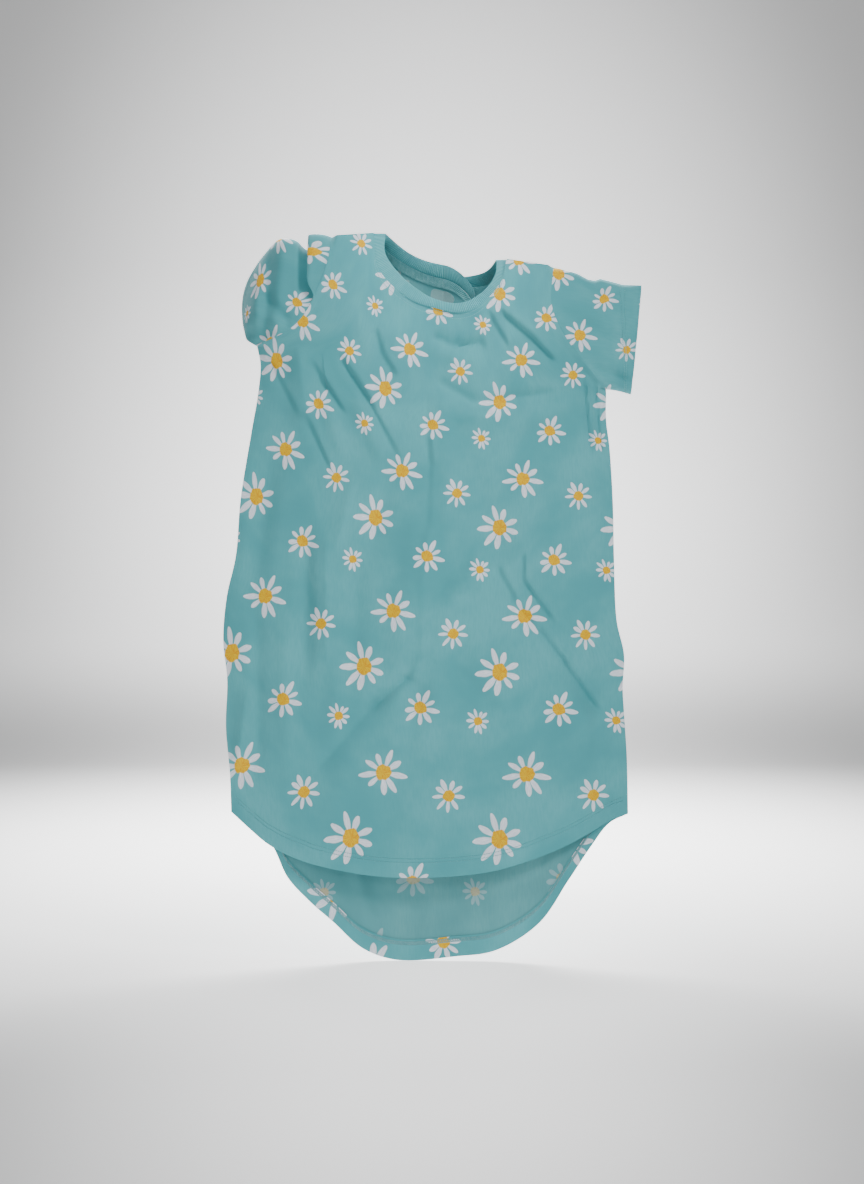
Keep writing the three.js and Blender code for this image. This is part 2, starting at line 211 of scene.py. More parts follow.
def body_columns(which):
    """Where each column starts, along one shoulder, the neck and the other shoulder."""
    shares = np.linspace(0, 1, SHOULDER_COLUMNS + 1)
    tops = np.vstack([
        through([SHOULDER_TIP_RIGHT, NECK_RIGHT], shares),
        through(NECK_SEAM[which], np.linspace(0, 1, NECK_COLUMNS + 1))[1:],
        through([NECK_LEFT, SHOULDER_TIP_LEFT], shares)[1:],
    ]) * MM
    return tops, (tops[:, 0] - SHOULDER_TIP_RIGHT[0] * MM) / SHOULDER_SPAN


ROW_W, ROW_LEFT, ROW_RIGHT, ROW_OPENING = body_rows()
print("rows down the body:", len(ROW_W))

# %% [markdown]
# Folds are what makes cloth read as cloth, and jersey has three kinds. A fold is a long soft ridge, or
# a valley for a height under 0, written as (from x, from z, to x, to z, width, height). A step is a
# lap, where the cloth stands proud beside a line and drops on its other side. A crease is a pressed
# line with a slope on either side. Steps and creases have two widths, one for each side. The big ones
# are where a hand would find them: from the armpits towards the chest, down the middle, and in the
# deep pull across the wearer's lower left. A little seeded unevenness goes on top.

# %% Folds
FRONT_FOLDS = [
    (-206, -170, -197, -262, 12, 3.0), (-160, -225, -136, -312, 12, 4.0),
    (-112, -235, -72, -322, 12, 4.0), (-28, -400, -36, -620, 16, 3.0), (16, -230, 22, -420, 14, 3.0),
    (-66, -120, -40, -190, 14, 3.0), (0, -158, 70, -178, 14, 4.0), (40, -258, 160, -256, 15, 4.0),
    (218, -228, 92, -292, 14, 4.0), (150, -566, 206, -664, 14, 3.5), (186, -548, 240, -640, 13, 4.5),
    (196, -650, 232, -712, 15, 4.0), (58, -458, 4, -526, 9, -2.2), (72, -478, 22, -540, 12, 3.0),
    (66, -512, 18, -508, 9, -3.0), (-48, -520, -54, -700, 17, 4.0), (12, -560, 6, -700, 15, 4.0),
    (20, -616, 98, -708, 15, -4.0), (60, -610, 128, -700, 18, 4.0), (100, -700, 150, -770, 20, -3.5),
    (-150, -480, -140, -740, 18, 4.2), (-222, -560, -214, -790, 17, 4.5),
    (-262, -560, -262, -780, 13, -5.0), (-186, -430, -190, -640, 14, -4.0),
    (-112, -470, -118, -660, 16, -4.0), (-240, -310, -268, -520, 18, -4.0),
    (-172, -440, -170, -640, 12, 3.0), (190, -700, 206, -850, 20, 4.0),
    (250, -690, 256, -840, 15, -5.0), (-60, -800, -66, -900, 22, -3.0),
    (-140, -790, -146, -900, 26, 3.0), (120, -800, 118, -910, 24, 3.0), (60, -330, 96, -470, 20, -3.5),
    (150, -320, 140, -480, 22, 3.5), (110, -430, 190, -470, 18, 3.5), (-60, -330, -96, -470, 18, -4.0),
    (-22, -655, -36, -760, 15, -4.2),
]
FRONT_STEPS = [
    (-184, -258, -151, -331, 10, 12, -3.0), (-174, -178, -131, -246, 9, 14, -3.2),
    (-132, -170, -87, -239, 9, 14, -4.4), (-90, -238, -49, -313, 8, 18, -3.0),
    (-81, -130, -72, -160, 10, 10, -2.4), (-74, -158, -51, -195, 12, 8, -3.5),
    (-4, -225, -3, -294, 8, 8, -1.2), (-3, -290, 0, -325, 10, 10, -3.0),
    (0, -322, -4, -425, 10, 10, -1.6), (106, -103, 153, -141, 12, 14, -5.0),
    (152, -142, 181, -170, 9, 12, -4.5), (82, -96, 112, -148, 10, 14, -3.5),
    (138, -462, 138, -500, 8, 8, -3.0), (100, -480, 125, -525, 14, 12, -3.6),
    (121, -526, 161, -573, 10, 12, -3.0), (139, -500, 181, -557, 9, 9, -4.5),
    (161, -568, 206, -626, 16, 10, -5.0), (202, -625, 251, -690, 18, 14, -5.0),
    (245, -205, 256, -312, 6, 6, -4.0), (228, -203, 241, -310, 6, 6, -4.0),
    (-240, -172, -198, -252, 8, 10, -2.0),
]
FRONT_CREASES = [
    (-198, -160, -184, -262, 12, 22, 5.0), (-4, -420, -12, -500, 14, 16, 5.0),
    (-13, -498, -14, -616, 10, 16, 4.5), (-14, -612, -30, -645, 14, 12, 5.0),
    (-28, -636, -91, -691, 12, 8, -7.5), (-88, -688, -166, -777, 10, 14, -4.0),
    (3, -139, 33, -155, 8, 8, -5.0), (33, -155, 76, -147, 8, 8, -5.5), (8, -204, 63, -236, 10, 8, -4.5),
    (63, -236, 175, -221, 10, 8, -4.5), (-275, -664, -290, -770, 12, 12, 5.0),
    (-157, -440, -157, -620, 12, 14, 4.0), (-118, -355, -146, -465, 16, 8, 3.0),
]
STEP_EDGE, CREASE_ROUND = 2.5 * MM, 2.0 * MM   # how sharply a step drops, how round a crease is
FRONT_GAIN, BACK_GAIN, STEP_GAIN, CREASE_GAIN = 1.4, 1.3, 1.3, 1.8   # how strongly each kind shows
BACK_FOLDS = [
    (-150, -120, -100, -330, 20, 5.0), (-60, -100, -40, -420, 22, -4.0), (0, -90, 6, -560, 22, 4.0),
    (80, -110, 60, -420, 22, -4.0), (160, -160, 110, -360, 20, 5.0), (-210, -300, -220, -700, 22, -5.0),
    (-140, -420, -150, -860, 26, 5.0), (-50, -520, -60, -930, 26, -5.0), (40, -540, 50, -960, 28, 5.0),
    (130, -500, 140, -880, 26, -5.0), (210, -300, 226, -720, 22, 5.0), (-120, -905, -96, -1010, 12, -3.5),
    (-30, -925, -24, -1030, 16, 3.0), (96, -900, 108, -1000, 16, -3.0), (180, -870, 160, -960, 14, 3.0),
]


def beside(x, z, x0, z0, x1, z1, ease):
    """How far each place is to the side of a line, and how much it lies between the line's ends."""
    along_x, along_z = (x1 - x0) * MM, (z1 - z0) * MM
    length = math.hypot(along_x, along_z)
    share = ((x - x0 * MM) * along_x + (z - z0 * MM) * along_z) / length**2
    away = ((x - x0 * MM) * along_z - (z - z0 * MM) * along_x) / length
    return away, smooth(share, -ease, ease) * (1 - smooth(share, 1 - ease, 1 + ease))


def folded(x, z, folds, gain=1.0):
    """Soft ridges, and soft valleys for a height under 0."""
    total = np.zeros_like(x)
    for *line, width, height in folds:
        away, ends = beside(x, z, *line, 0.23)
        total += height * gain * MM * np.exp(-((away / (width * MM)) ** 2)) * ends
    return total


def stepped(x, z, steps):
    """Laps: the cloth stands proud on one side of a line and drops sharply on the other."""
    total = np.zeros_like(x)
    for *line, one_side, other_side, height in steps:
        away, ends = beside(x, z, *line, 0.15)
        side = np.where(away > 0, one_side, other_side) * MM
        total += STEP_GAIN * height * MM * np.tanh(away / STEP_EDGE) * np.exp(-((away / side) ** 2)) * ends
    return total


def creased(x, z, creases):
    """Pressed lines: a narrow bottom, with a slope of its own on either side."""
    total = np.zeros_like(x)
    for *line, one_side, other_side, height in creases:
        away, ends = beside(x, z, *line, 0.15)
        side = np.where(away > 0, one_side, other_side) * MM
        slope = np.exp((CREASE_ROUND - np.hypot(away, CREASE_ROUND)) / side)
        total += CREASE_GAIN * height * MM * slope * ends
    return total


def uneven(x, z, seed, size, height):
    """A smooth, seeded unevenness: a sum of slow waves in many directions."""
    draw = np.random.default_rng(seed)
    total = np.zeros_like(x)
    for _ in range(26):
        angle, phase = draw.uniform(0, np.pi), draw.uniform(0, 2 * np.pi)
        wave = 2 * np.pi / (size * draw.uniform(0.7, 1.6))
        total += np.sin(wave * (x * math.cos(angle) + z * math.sin(angle)) + phase)
    return total * height / 26**0.5


# %% [markdown]
# A sheet is a grid of points with a normal at each. It can be asked for a place between its points,
# so that tapes, hems and stitches are laid on the finished folds and never beside them.

# %% The sheet
class Sheet:
    def __init__(self, points, across, down, flat, round_=False, flip=False):
        self.p, self.across, self.down, self.flat, self.round = points, across, down, flat, round_
        if round_:
            du = np.roll(points, -1, axis=0) - np.roll(points, 1, axis=0)
        else:
            du = np.gradient(points, axis=0)
        normal = np.cross(du, np.gradient(points, axis=1))
        normal /= np.maximum(np.linalg.norm(normal, axis=2, keepdims=True), 1e-12)
        self.n = -normal if flip else normal

    def at(self, across, down):
        """Places, normals and flat places on the sheet, at pairs of shares across and down it."""
        across, down = np.broadcast_arrays(np.asarray(across, float), np.asarray(down, float))
        count = self.p.shape[0]
        if self.round:
            i = (across % 1.0) * count
        else:
            i = np.interp(across, self.across, np.arange(count))
        j = np.interp(down, self.down, np.arange(self.p.shape[1]))
        i0, j0 = np.floor(i).astype(int), np.minimum(np.floor(j).astype(int), self.p.shape[1] - 2)
        if not self.round:
            i0 = np.minimum(i0, count - 2)
        i1 = (i0 + 1) % count
        fi, fj = (i - i0)[..., None], (j - j0)[..., None]
        found = [
            mix(mix(a[i0, j0], a[i1, j0], fi), mix(a[i0, j0 + 1], a[i1, j0 + 1], fi), fj)
            for a in (self.p, self.n, self.flat)
        ]
        found[1] /= np.linalg.norm(found[1], axis=-1, keepdims=True)
        return found

    def edges(self):
        """The same sheet's across and down shares, as a pair of grids."""
        return np.meshgrid(self.across, self.down, indexing="ij")


# %% Front and back sheets
def body_sheet(which):
    tops, u = body_columns(which)
    corner_right = np.array(HEM_CORNER_RIGHT) * MM
    corner_left = np.array(HEM_CORNER_LEFT) * MM
    bottoms = mix(corner_right, corner_left, u[:, None])
    across = 2 * u - 1
    hem_line = through(HEM_LINE[which], np.linspace(0, 1, 500)) * MM
    bottoms[:, 1] = np.interp(bottoms[:, 0], hem_line[:, 0], hem_line[:, 1])
    w = ROW_W[None, :, None]
    uu = u[:, None, None]
    top_line = mix(ROW_RIGHT[0], ROW_LEFT[0], uu)
    bottom_line = mix(ROW_RIGHT[-1], ROW_LEFT[-1], uu)
    place = mix(tops[:, None, :], bottoms[:, None, :], w) + mix(ROW_RIGHT, ROW_LEFT, uu)
    place -= mix(top_line, bottom_line, w)
    x, z = place[..., 0], place[..., 1]

    chest, hem = FRONT_DEPTH if which == "front" else BACK_DEPTH
    middle = 1 - np.abs(across[:, None]) ** 2.2
    near_edge = smooth(1 - np.abs(across[:, None]), 0.06, 0.0)
    opening = mix(softened(ROW_OPENING, ROW_W, 0.04)[None, :], ROW_OPENING[None, :], near_edge)
    depth = LEAST_DEPTH + opening * (1 - middle)
    depth = depth + mix(chest, hem, ROW_W[None, :]) * middle * shoulder_round(x, z)

    # Folds fade out at the seams, where the cloth is held.
    calm = smooth(1 - np.abs(across[:, None]), 0.0, 0.06) * smooth(ROW_W[None, :], 0.0, 0.05)
    if which == "front":
        folds = folded(x, z, FRONT_FOLDS, FRONT_GAIN)
        folds = folds + stepped(x, z, FRONT_STEPS) + creased(x, z, FRONT_CREASES)
    else:
        folds = folded(x, z, BACK_FOLDS, BACK_GAIN)
    seed = 3 if which == "front" else 8
    folds = folds + uneven(x, z, seed, 0.16, 1.0 * MM) + uneven(x, z, seed + 1, 0.05, 0.35 * MM)
    depth = depth + folds * calm
    depth = np.maximum(depth, LEAST_DEPTH)
    over = np.maximum(depth - DEEPEST, 0)
    depth = np.where(over > 0, DEEPEST + SOFT_LIMIT * np.tanh(over / SOFT_LIMIT), depth)
    y = -depth if which == "front" else depth
    points = np.stack([x, y, z], axis=-1)
    if which == "back":
        points = neck_pleat(points)
    return Sheet(points, u, ROW_W, flat=np.stack([x, z], axis=-1), flip=which == "front")


# %% [markdown]
# At the back of the neck the band is pleated over itself: its right-hand part, seen from inside,
# passes in front and dips, and the left-hand part comes out from behind. One smooth map of the cloth
# makes the pleat in the band and in everything sewn to it, and it fades out down the back.

# %% The pleat at the back of the neck
def pleated(points, at_x, reach, depth, dip, fade):
    """Folds cloth over itself about one place: what is at its +x side slides under, for a depth over 0."""
    q = np.clip((points[..., 0] - at_x) / reach, -1, 1)
    slide = np.sin(np.pi * q) * (1 + np.cos(np.pi * q)) / 2
    moved = points.copy()
    moved[..., 0] -= 1.04 * reach * slide * fade
    moved[..., 1] += depth * np.sin(np.pi * q) * fade
    moved[..., 2] -= dip * bump(q, -0.25, 0.32) * fade
    return moved


def neck_pleat(points):
    """The pleat in the back of the neck, fading out down the back."""
    fade = smooth(points[..., 2], -180 * MM, -40 * MM)
    return pleated(points, 52 * MM, 34 * MM, 7 * MM, 34 * MM, fade)


front = body_sheet("front")
back = body_sheet("back")
print("front sheet points:", front.p.shape, "back sheet points:", back.p.shape)

# %% [markdown]
# The print is a repeat of five daisies. Its rows follow the cloth, so its coordinates are kept on the
# cloth itself: how many repeats across and down each point is, and how tall a repeat is for its
# width. The repeat grows a little down the skirt, where the cloth hangs nearer and wider.

# %% Where the print lies
PRINT_X, PRINT_START = 100.5 * MM, 0.525   # a column of big daisies, and where its first one lies
TOP_WIDE, TOP_TALL = 0.1527, 0.1381         # one repeat at the shoulder, metres
WIDENING, GROWTH = 0.0776, 0.146            # how much more for each metre down
BODY_CLOTH, SLEEVE_CLOTH = (0.56, 0.92), (0.42, 0.13)   # about how wide and long each cloth is


def cloth_at(across, down, size):
    """Places on the cloth in metres, for its knit and yarns."""
    return np.stack([across * size[0], down * size[1], np.zeros_like(across)], axis=-1)


def print_at(flat):
    """The print's own coordinates at places on the body, whose rows rise a little to one side."""
    x, z = flat[..., 0], flat[..., 1]
    wide = TOP_WIDE - WIDENING * z
    to_the_right = np.clip((PRINT_X - x) / wide, 0, None)
    rise = np.clip(0.0195 + 0.0272 * (z + 0.23), 0, 0.03) * to_the_right**1.6
    z = z - rise
    tall = np.maximum(TOP_TALL - GROWTH * z, 0.08)
    down = np.log(tall / TOP_TALL) / GROWTH - PRINT_START
    return np.stack([(x - PRINT_X) / wide, down, tall / wide], axis=-1)


# %% Meshes from grids
def closed(name, outer, inner, materials, facts, ring=False):
    """A closed piece between two grids of points. Its materials are for outside, inside and rim."""
    across, down = outer.shape[:2]
    points = np.concatenate([outer.reshape(-1, 3), inner.reshape(-1, 3)])
    index = np.arange(2 * across * down).reshape(2, across, down)
    if ring:
        index = np.concatenate([index, index[:, :1]], axis=1)
    o, n = index

    def quads(*corners):
        return np.stack(corners, axis=-1).reshape(-1, 4)

    parts = [
        quads(o[:-1, :-1], o[1:, :-1], o[1:, 1:], o[:-1, 1:]),
        quads(n[:-1, :-1], n[:-1, 1:], n[1:, 1:], n[1:, :-1]),
        quads(o[:-1, 0], n[:-1, 0], n[1:, 0], o[1:, 0]),
        quads(o[:-1, -1], o[1:, -1], n[1:, -1], n[:-1, -1]),
    ]
    if not ring:
        parts.append(quads(o[0, :-1], o[0, 1:], n[0, 1:], n[0, :-1]))
        parts.append(quads(o[-1, :-1], n[-1, :-1], n[-1, 1:], o[-1, 1:]))
    slots = np.concatenate([np.full(len(p), min(k, 2)) for k, p in enumerate(parts)])
    faces = np.concatenate(parts)
    a, b, c, d = (points[faces[:, k]] for k in range(4))
    volume = (a * np.cross(b, c)).sum() + (a * np.cross(c, d)).sum()
    if volume < 0:
        faces = faces[:, ::-1]
    both = {key: np.tile(value.reshape(across * down, -1), (2, 1)) for key, value in facts.items()}
    return mesh_piece(name, points, faces, materials, slots, both)


def mesh_piece(name, points, faces, materials, slots=None, facts=None):
    """A smooth-shaded mesh that carries facts at its points for its materials."""
    mesh = bpy.data.meshes.new(name)
    mesh.from_pydata(points.tolist(), [], faces.tolist())
    mesh.validate()
    for material in materials:
        mesh.materials.append(material)
    if slots is not None:
        mesh.polygons.foreach_set("material_index", slots.astype(np.int32))
    mesh.polygons.foreach_set("use_smooth", np.ones(len(mesh.polygons), bool))
    for key, value in (facts or {}).items():
        kind, field = ("FLOAT_VECTOR", "vector") if value.shape[1] == 3 else ("FLOAT", "value")
        layer = mesh.attributes.new(key, kind, "POINT")
        layer.data.foreach_set(field, np.ascontiguousarray(value, dtype=np.float32).ravel())
    mesh.set_sharp_from_angle(angle=math.radians(62))
    piece = bpy.data.objects.new(name, mesh)
    bpy.context.collection.objects.link(piece)
    return piece


def sewn_on(piece, slot, *nodes, sleeve=None):
    """Says which finish and which plain solids a piece stands for, and what it moves with."""
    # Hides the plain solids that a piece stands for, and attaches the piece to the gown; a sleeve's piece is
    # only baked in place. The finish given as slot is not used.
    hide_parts(*nodes)
    if sleeve:
        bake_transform(piece)
    else:
        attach(piece, "gown")
    return piece


def trim_on_gown(piece):
    """A piece that moves with the gown and stands for no plain solid of its own."""
    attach(piece, "gown")
    return piece


def area_of(sheet):
    p = sheet.p
    if sheet.round:
        p = np.concatenate([p, p[:1]])
    d1 = p[1:, 1:] - p[:-1, :-1]
    d2 = p[1:, :-1] - p[:-1, 1:]
    return float(np.linalg.norm(np.cross(d1, d2), axis=-1).sum() / 2)


# %% [markdown]
# Colours are mixed once and used by every material that needs them. The cloth is a pale aqua cotton
# jersey, printed on its right side only, so its wrong side is greyer and the flowers show through it
# faintly. Printed ink sits in the knit: it isn't flat white, but streaked by the stitches under it.

# %% Colours
def srgb(red, green, blue):
    def linear(value):
        value /= 255
        return value / 12.92 if value <= 0.04045 else ((value + 0.055) / 1.055) ** 2.4
    return (linear(red), linear(green), linear(blue), 1.0)


AQUA_DEEP, AQUA_PALE = srgb(70, 149, 156), srgb(89, 167, 173)
WRONG_SIDE, WRONG_PALE = srgb(76, 140, 145), srgb(95, 158, 162)
PETAL, PETAL_SHADE = srgb(238, 240, 242), srgb(196, 204, 220)
YELLOW, ORANGE = srgb(222, 184, 0), srgb(208, 142, 0)
THREAD, LABEL_GREY = srgb(112, 184, 189), srgb(104, 146, 148)


# %% Node helpers
def new_material(name, roughness=0.9, sheen=0.12):
    material = bpy.data.materials.new(name)
    material.use_nodes = True
    shader = material.node_tree.nodes["Principled BSDF"]
    shader.inputs["Roughness"].default_value = roughness
    shader.inputs["Specular IOR Level"].default_value = 0.18
    shader.inputs["Sheen Weight"].default_value = sheen
    shader.inputs["Sheen Roughness"].default_value = 0.55
    return material, material.node_tree, shader


def node(tree, kind, inputs=None, **settings):
    """A new node. Its inputs are sockets to link or plain values, and its settings are set first."""
    made = tree.nodes.new(kind)
    for key, value in settings.items():
        setattr(made, key, value)
    for key, value in (inputs or {}).items():
        if isinstance(value, bpy.types.NodeSocket):
            tree.links.new(value, made.inputs[key])
        else:
            made.inputs[key].default_value = value
    return made


def maths(tree, operation, a, b=0.0, c=0.0, clamp=False):
    return node(tree, "ShaderNodeMath", {0: a, 1: b, 2: c}, operation=operation, use_clamp=clamp).outputs[0]


def blended(tree, share, a, b):
    made = node(tree, "ShaderNodeMix", {0: share, 6: a, 7: b}, data_type="RGBA")
    return made.outputs[2]


def between(tree, value, low, high):
    """0 below low, 1 above high, smooth in between; low over high turns it round."""
    made = node(tree, "ShaderNodeMapRange", {"Value": value, "From Min": low, "From Max": high},
                interpolation_type="SMOOTHSTEP")
    return made.outputs["Result"]


def fact(tree, name):
    return node(tree, "ShaderNodeAttribute", attribute_name=name, attribute_type="GEOMETRY")


def new_group(name, inputs, outputs):
    group = bpy.data.node_groups.new(name, "ShaderNodeTree")
    for socket, kind in inputs.items():
        group.interface.new_socket(socket, in_out="INPUT", socket_type=kind)
    for socket, kind in outputs.items():
        group.interface.new_socket(socket, in_out="OUTPUT", socket_type=kind)
    return group, group.nodes.new("NodeGroupInput"), group.nodes.new("NodeGroupOutput")


def use_group(tree, group, inputs=None):
    return node(tree, "ShaderNodeGroup", inputs, node_tree=group)


# %% [markdown]
# One daisy is worked out from a distance and an angle about its centre. The angle is cut into as many
# slices as it has petals, and each slice draws its own length, width and lean, so that no two petals
# are alike. A stencil would look stamped, but these flowers look painted by hand.

# %% One daisy
FLOAT, VECTOR = "NodeSocketFloat", "NodeSocketVector"
DISC, PETAL_ROUNDS = 0.325, 0.58   # the disc's radius, and where a petal starts to round off


def daisy_group():
    group, given, made = new_group(
        "one daisy",
        {"Repeat": VECTOR, "Across": FLOAT, "Down": FLOAT, "Size": FLOAT, "Petals": FLOAT, "Seed": FLOAT},
        {"Petal": FLOAT, "Centre": FLOAT, "Streak": FLOAT},
    )
    repeat = node(group, "ShaderNodeSeparateXYZ", {0: given.outputs["Repeat"]})
    offsets = []
    for axis, place in (("X", "Across"), ("Y", "Down")):
        away = maths(group, "SUBTRACT", repeat.outputs[axis], given.outputs[place])
        away = maths(group, "FRACT", maths(group, "ADD", away, 0.5))
        offsets.append(maths(group, "SUBTRACT", away, 0.5))
    across = offsets[0]
    down = maths(group, "MULTIPLY", offsets[1], repeat.outputs["Z"])
    place = node(group, "ShaderNodeCombineXYZ", {0: across, 1: down, 2: given.outputs["Seed"]})
    wobble = node(group, "ShaderNodeTexNoise", {"Vector": place.outputs[0], "Scale": 22.0, "Detail": 2.0})
    wobble = maths(group, "SUBTRACT", wobble.outputs[0], 0.5)
    far = maths(group, "SQRT", maths(group, "ADD", maths(group, "MULTIPLY", across, across),
                                     maths(group, "MULTIPLY", down, down)))
    far = maths(group, "MULTIPLY_ADD", wobble, 0.14, maths(group, "DIVIDE", far, given.outputs["Size"]))

    # Which petal this is, and how far round from its middle.
    turn = maths(group, "MULTIPLY_ADD", maths(group, "ARCTAN2", across, down), 0.5 / math.pi, 0.5)
    turn = maths(group, "MULTIPLY", turn, given.outputs["Petals"])
    petal_number = maths(group, "FLOOR", turn)
    draw = node(group, "ShaderNodeCombineXYZ", {0: petal_number, 1: given.outputs["Seed"]})
    draw = node(group, "ShaderNodeTexWhiteNoise", {"Vector": draw.outputs[0]}, noise_dimensions="2D")
    draw = node(group, "ShaderNodeSeparateColor", {0: draw.outputs["Color"]})
    lean = maths(group, "MULTIPLY_ADD", draw.outputs[0], 0.42, -0.71)
    beside = maths(group, "ADD", maths(group, "FRACT", turn), lean)
    slice_angle = maths(group, "DIVIDE", 2 * math.pi, given.outputs["Petals"])
    beside = maths(group, "SINE", maths(group, "MULTIPLY", beside, slice_angle))
    beside = maths(group, "MULTIPLY", far, beside)

    # Narrow at the disc, widest past the middle, rounded at the tip.
    length = maths(group, "MULTIPLY_ADD", draw.outputs[1], 0.26, 0.80)
    widest = maths(group, "MULTIPLY_ADD", draw.outputs[2], 0.045, 0.112)
    past = maths(group, "SUBTRACT", far, PETAL_ROUNDS)
    to_tip = maths(group, "DIVIDE", past, maths(group, "SUBTRACT", length, PETAL_ROUNDS), clamp=True)
    rounding = maths(group, "SUBTRACT", 1.0, maths(group, "MULTIPLY", to_tip, to_tip), clamp=True)
    rounding = maths(group, "SQRT", rounding)
    width = maths(group, "MULTIPLY_ADD", between(group, far, 0.2, 0.66), 0.5, 0.5)
    width = maths(group, "MULTIPLY", maths(group, "MULTIPLY", widest, width), rounding)
    room = maths(group, "SUBTRACT", width, maths(group, "ABSOLUTE", beside))
    within = between(group, maths(group, "SUBTRACT", length, far), -0.02, 0.02)
    petal = maths(group, "MULTIPLY", between(group, room, -0.012, 0.026), within)
    centre = between(group, maths(group, "MULTIPLY_ADD", wobble, 0.12, far), DISC + 0.02, DISC - 0.02)
    strokes = node(group, "ShaderNodeCombineXYZ", {
        0: maths(group, "MULTIPLY", beside, 26.0), 1: maths(group, "MULTIPLY", far, 2.4), 2: turn,
    })
    strokes = node(group, "ShaderNodeTexNoise", {"Vector": strokes.outputs[0], "Scale": 1.6, "Detail": 3.0})
    streak = maths(group, "MULTIPLY", strokes.outputs[0], between(group, far, 1.2, 1.0))
    for name, socket in (("Petal", petal), ("Centre", centre), ("Streak", streak)):
        group.links.new(socket, made.inputs[name])
    return group


DAISIES = [  # across, down, size, petals, seed: places and sizes are shares of one repeat
    (0.0, 0.0, 0.178, 9, 3.1), (0.19, -0.37, 0.163, 9, 7.7), (0.43, 0.24, 0.137, 9, 12.3),
    (0.65, -0.245, 0.122, 9, 18.9), (0.845, 0.31, 0.093, 10, 25.4),
]


def print_group(daisy):
    group, given, made = new_group("daisy print", {}, {"Petal": FLOAT, "Centre": FLOAT, "Streak": FLOAT})
    repeat = fact(group, "print").outputs["Vector"]
    totals = {}
    for across, down, size, petals, seed in DAISIES:
        one = use_group(group, daisy, {
            "Repeat": repeat, "Across": across % 1, "Down": down % 1, "Size": size, "Petals": petals,
            "Seed": seed,
        })
        near = maths(group, "MAXIMUM", one.outputs["Petal"], one.outputs["Centre"])
        found = {"Petal": one.outputs["Petal"], "Centre": one.outputs["Centre"],
                 "Streak": maths(group, "MULTIPLY", one.outputs["Streak"], near)}
        for key, socket in found.items():
            so_far = totals.get(key)
            totals[key] = maths(group, "MAXIMUM", so_far, socket) if so_far else socket
    for key, socket in totals.items():
        group.links.new(socket, made.inputs[key])
    return group


# %% [markdown]
# Jersey is a weft knit: columns of little loops, called wales, and rows across them, called courses.
# Both are about one to the millimetre here, a little coarser than real ones, so that they show. Its
# wrong side shows the courses more. It isn't perfectly even: some yarns are thicker, and cloth that
# has been washed has a soft, mottled surface.

# %% The knit
WALE, COURSE = 1.1 * MM, 0.9 * MM


def knit_group(name, wale_share):
    group, given, made = new_group(name, {}, {"Height": FLOAT, "Mottle": FLOAT, "Slub": FLOAT})
    cloth = fact(group, "cloth").outputs["Vector"]
    place = node(group, "ShaderNodeSeparateXYZ", {0: cloth})
    wale = maths(group, "SINE", maths(group, "MULTIPLY", place.outputs["X"], 2 * math.pi / WALE))
    course = maths(group, "SINE", maths(group, "MULTIPLY", place.outputs["Y"], 2 * math.pi / COURSE))
    loops = maths(group, "ADD", maths(group, "MULTIPLY", wale, wale_share),
                  maths(group, "MULTIPLY", course, 1 - wale_share))
    slow = node(group, "ShaderNodeTexNoise", {"Vector": cloth, "Scale": 9.0, "Detail": 3.0})
    stretched = node(group, "ShaderNodeMapping", {"Vector": cloth, "Scale": (1.0, 0.12, 1.0)})
    slub = node(group, "ShaderNodeTexNoise", {"Vector": stretched.outputs[0], "Scale": 420.0, "Detail": 2.0})
    crumple = node(group, "ShaderNodeTexNoise", {"Vector": cloth, "Scale": 46.0, "Detail": 4.0})
    height = maths(group, "MULTIPLY_ADD", loops, 0.05, maths(group, "MULTIPLY", crumple.outputs[0], 0.8))
    for key, socket in (("Height", height), ("Mottle", slow.outputs[0]), ("Slub", slub.outputs[0])):
        group.links.new(socket, made.inputs[key])
    return group


ONE_DAISY = daisy_group()
DAISY_PRINT = print_group(ONE_DAISY)
RIGHT_SIDE = knit_group("jersey right side", 0.75)
OTHER_SIDE = knit_group("jersey wrong side", 0.3)


def jersey(name, knit, pale, deep, ink, bump_height=0.0009):
    """Printed jersey. Ink is how much of the print shows on this side."""
    material, tree, shader = new_material(name)
    loops = use_group(tree, knit)
    flowers = use_group(tree, DAISY_PRINT)
    base = blended(tree, between(tree, loops.outputs["Mottle"], 0.3, 0.7), deep, pale)
    slub = between(tree, loops.outputs["Slub"], 0.3, 0.75)
    base = blended(tree, maths(tree, "MULTIPLY", slub, 0.35), base, deep)
    streak = between(tree, flowers.outputs["Streak"], 0.28, 0.6)
    petal = blended(tree, maths(tree, "MULTIPLY", streak, 0.75), PETAL, PETAL_SHADE)
    ink_share = maths(tree, "MULTIPLY", flowers.outputs["Petal"], ink)
    colour = blended(tree, ink_share, base, petal)
    speck = between(tree, flowers.outputs["Streak"], 0.40, 0.60)
    middle = blended(tree, speck, YELLOW, ORANGE)
    centre_share = maths(tree, "MULTIPLY", flowers.outputs["Centre"], min(1.0, ink * 1.7))
    colour = blended(tree, centre_share, colour, middle)
    tree.links.new(colour, shader.inputs["Base Color"])
    rough = maths(tree, "MULTIPLY_ADD", flowers.outputs["Petal"], -0.10 * ink, 0.93)
    tree.links.new(rough, shader.inputs["Roughness"])
    relief = node(tree, "ShaderNodeBump", {"Height": loops.outputs["Height"], "Distance": bump_height,
                                          "Strength": 0.8})
    tree.links.new(relief.outputs[0], shader.inputs["Normal"])
    return material


printed = jersey("printed jersey", RIGHT_SIDE, AQUA_PALE, AQUA_DEEP, 0.94)
wrong_side = jersey("wrong side of the jersey", OTHER_SIDE, WRONG_PALE, WRONG_SIDE, 0.22)
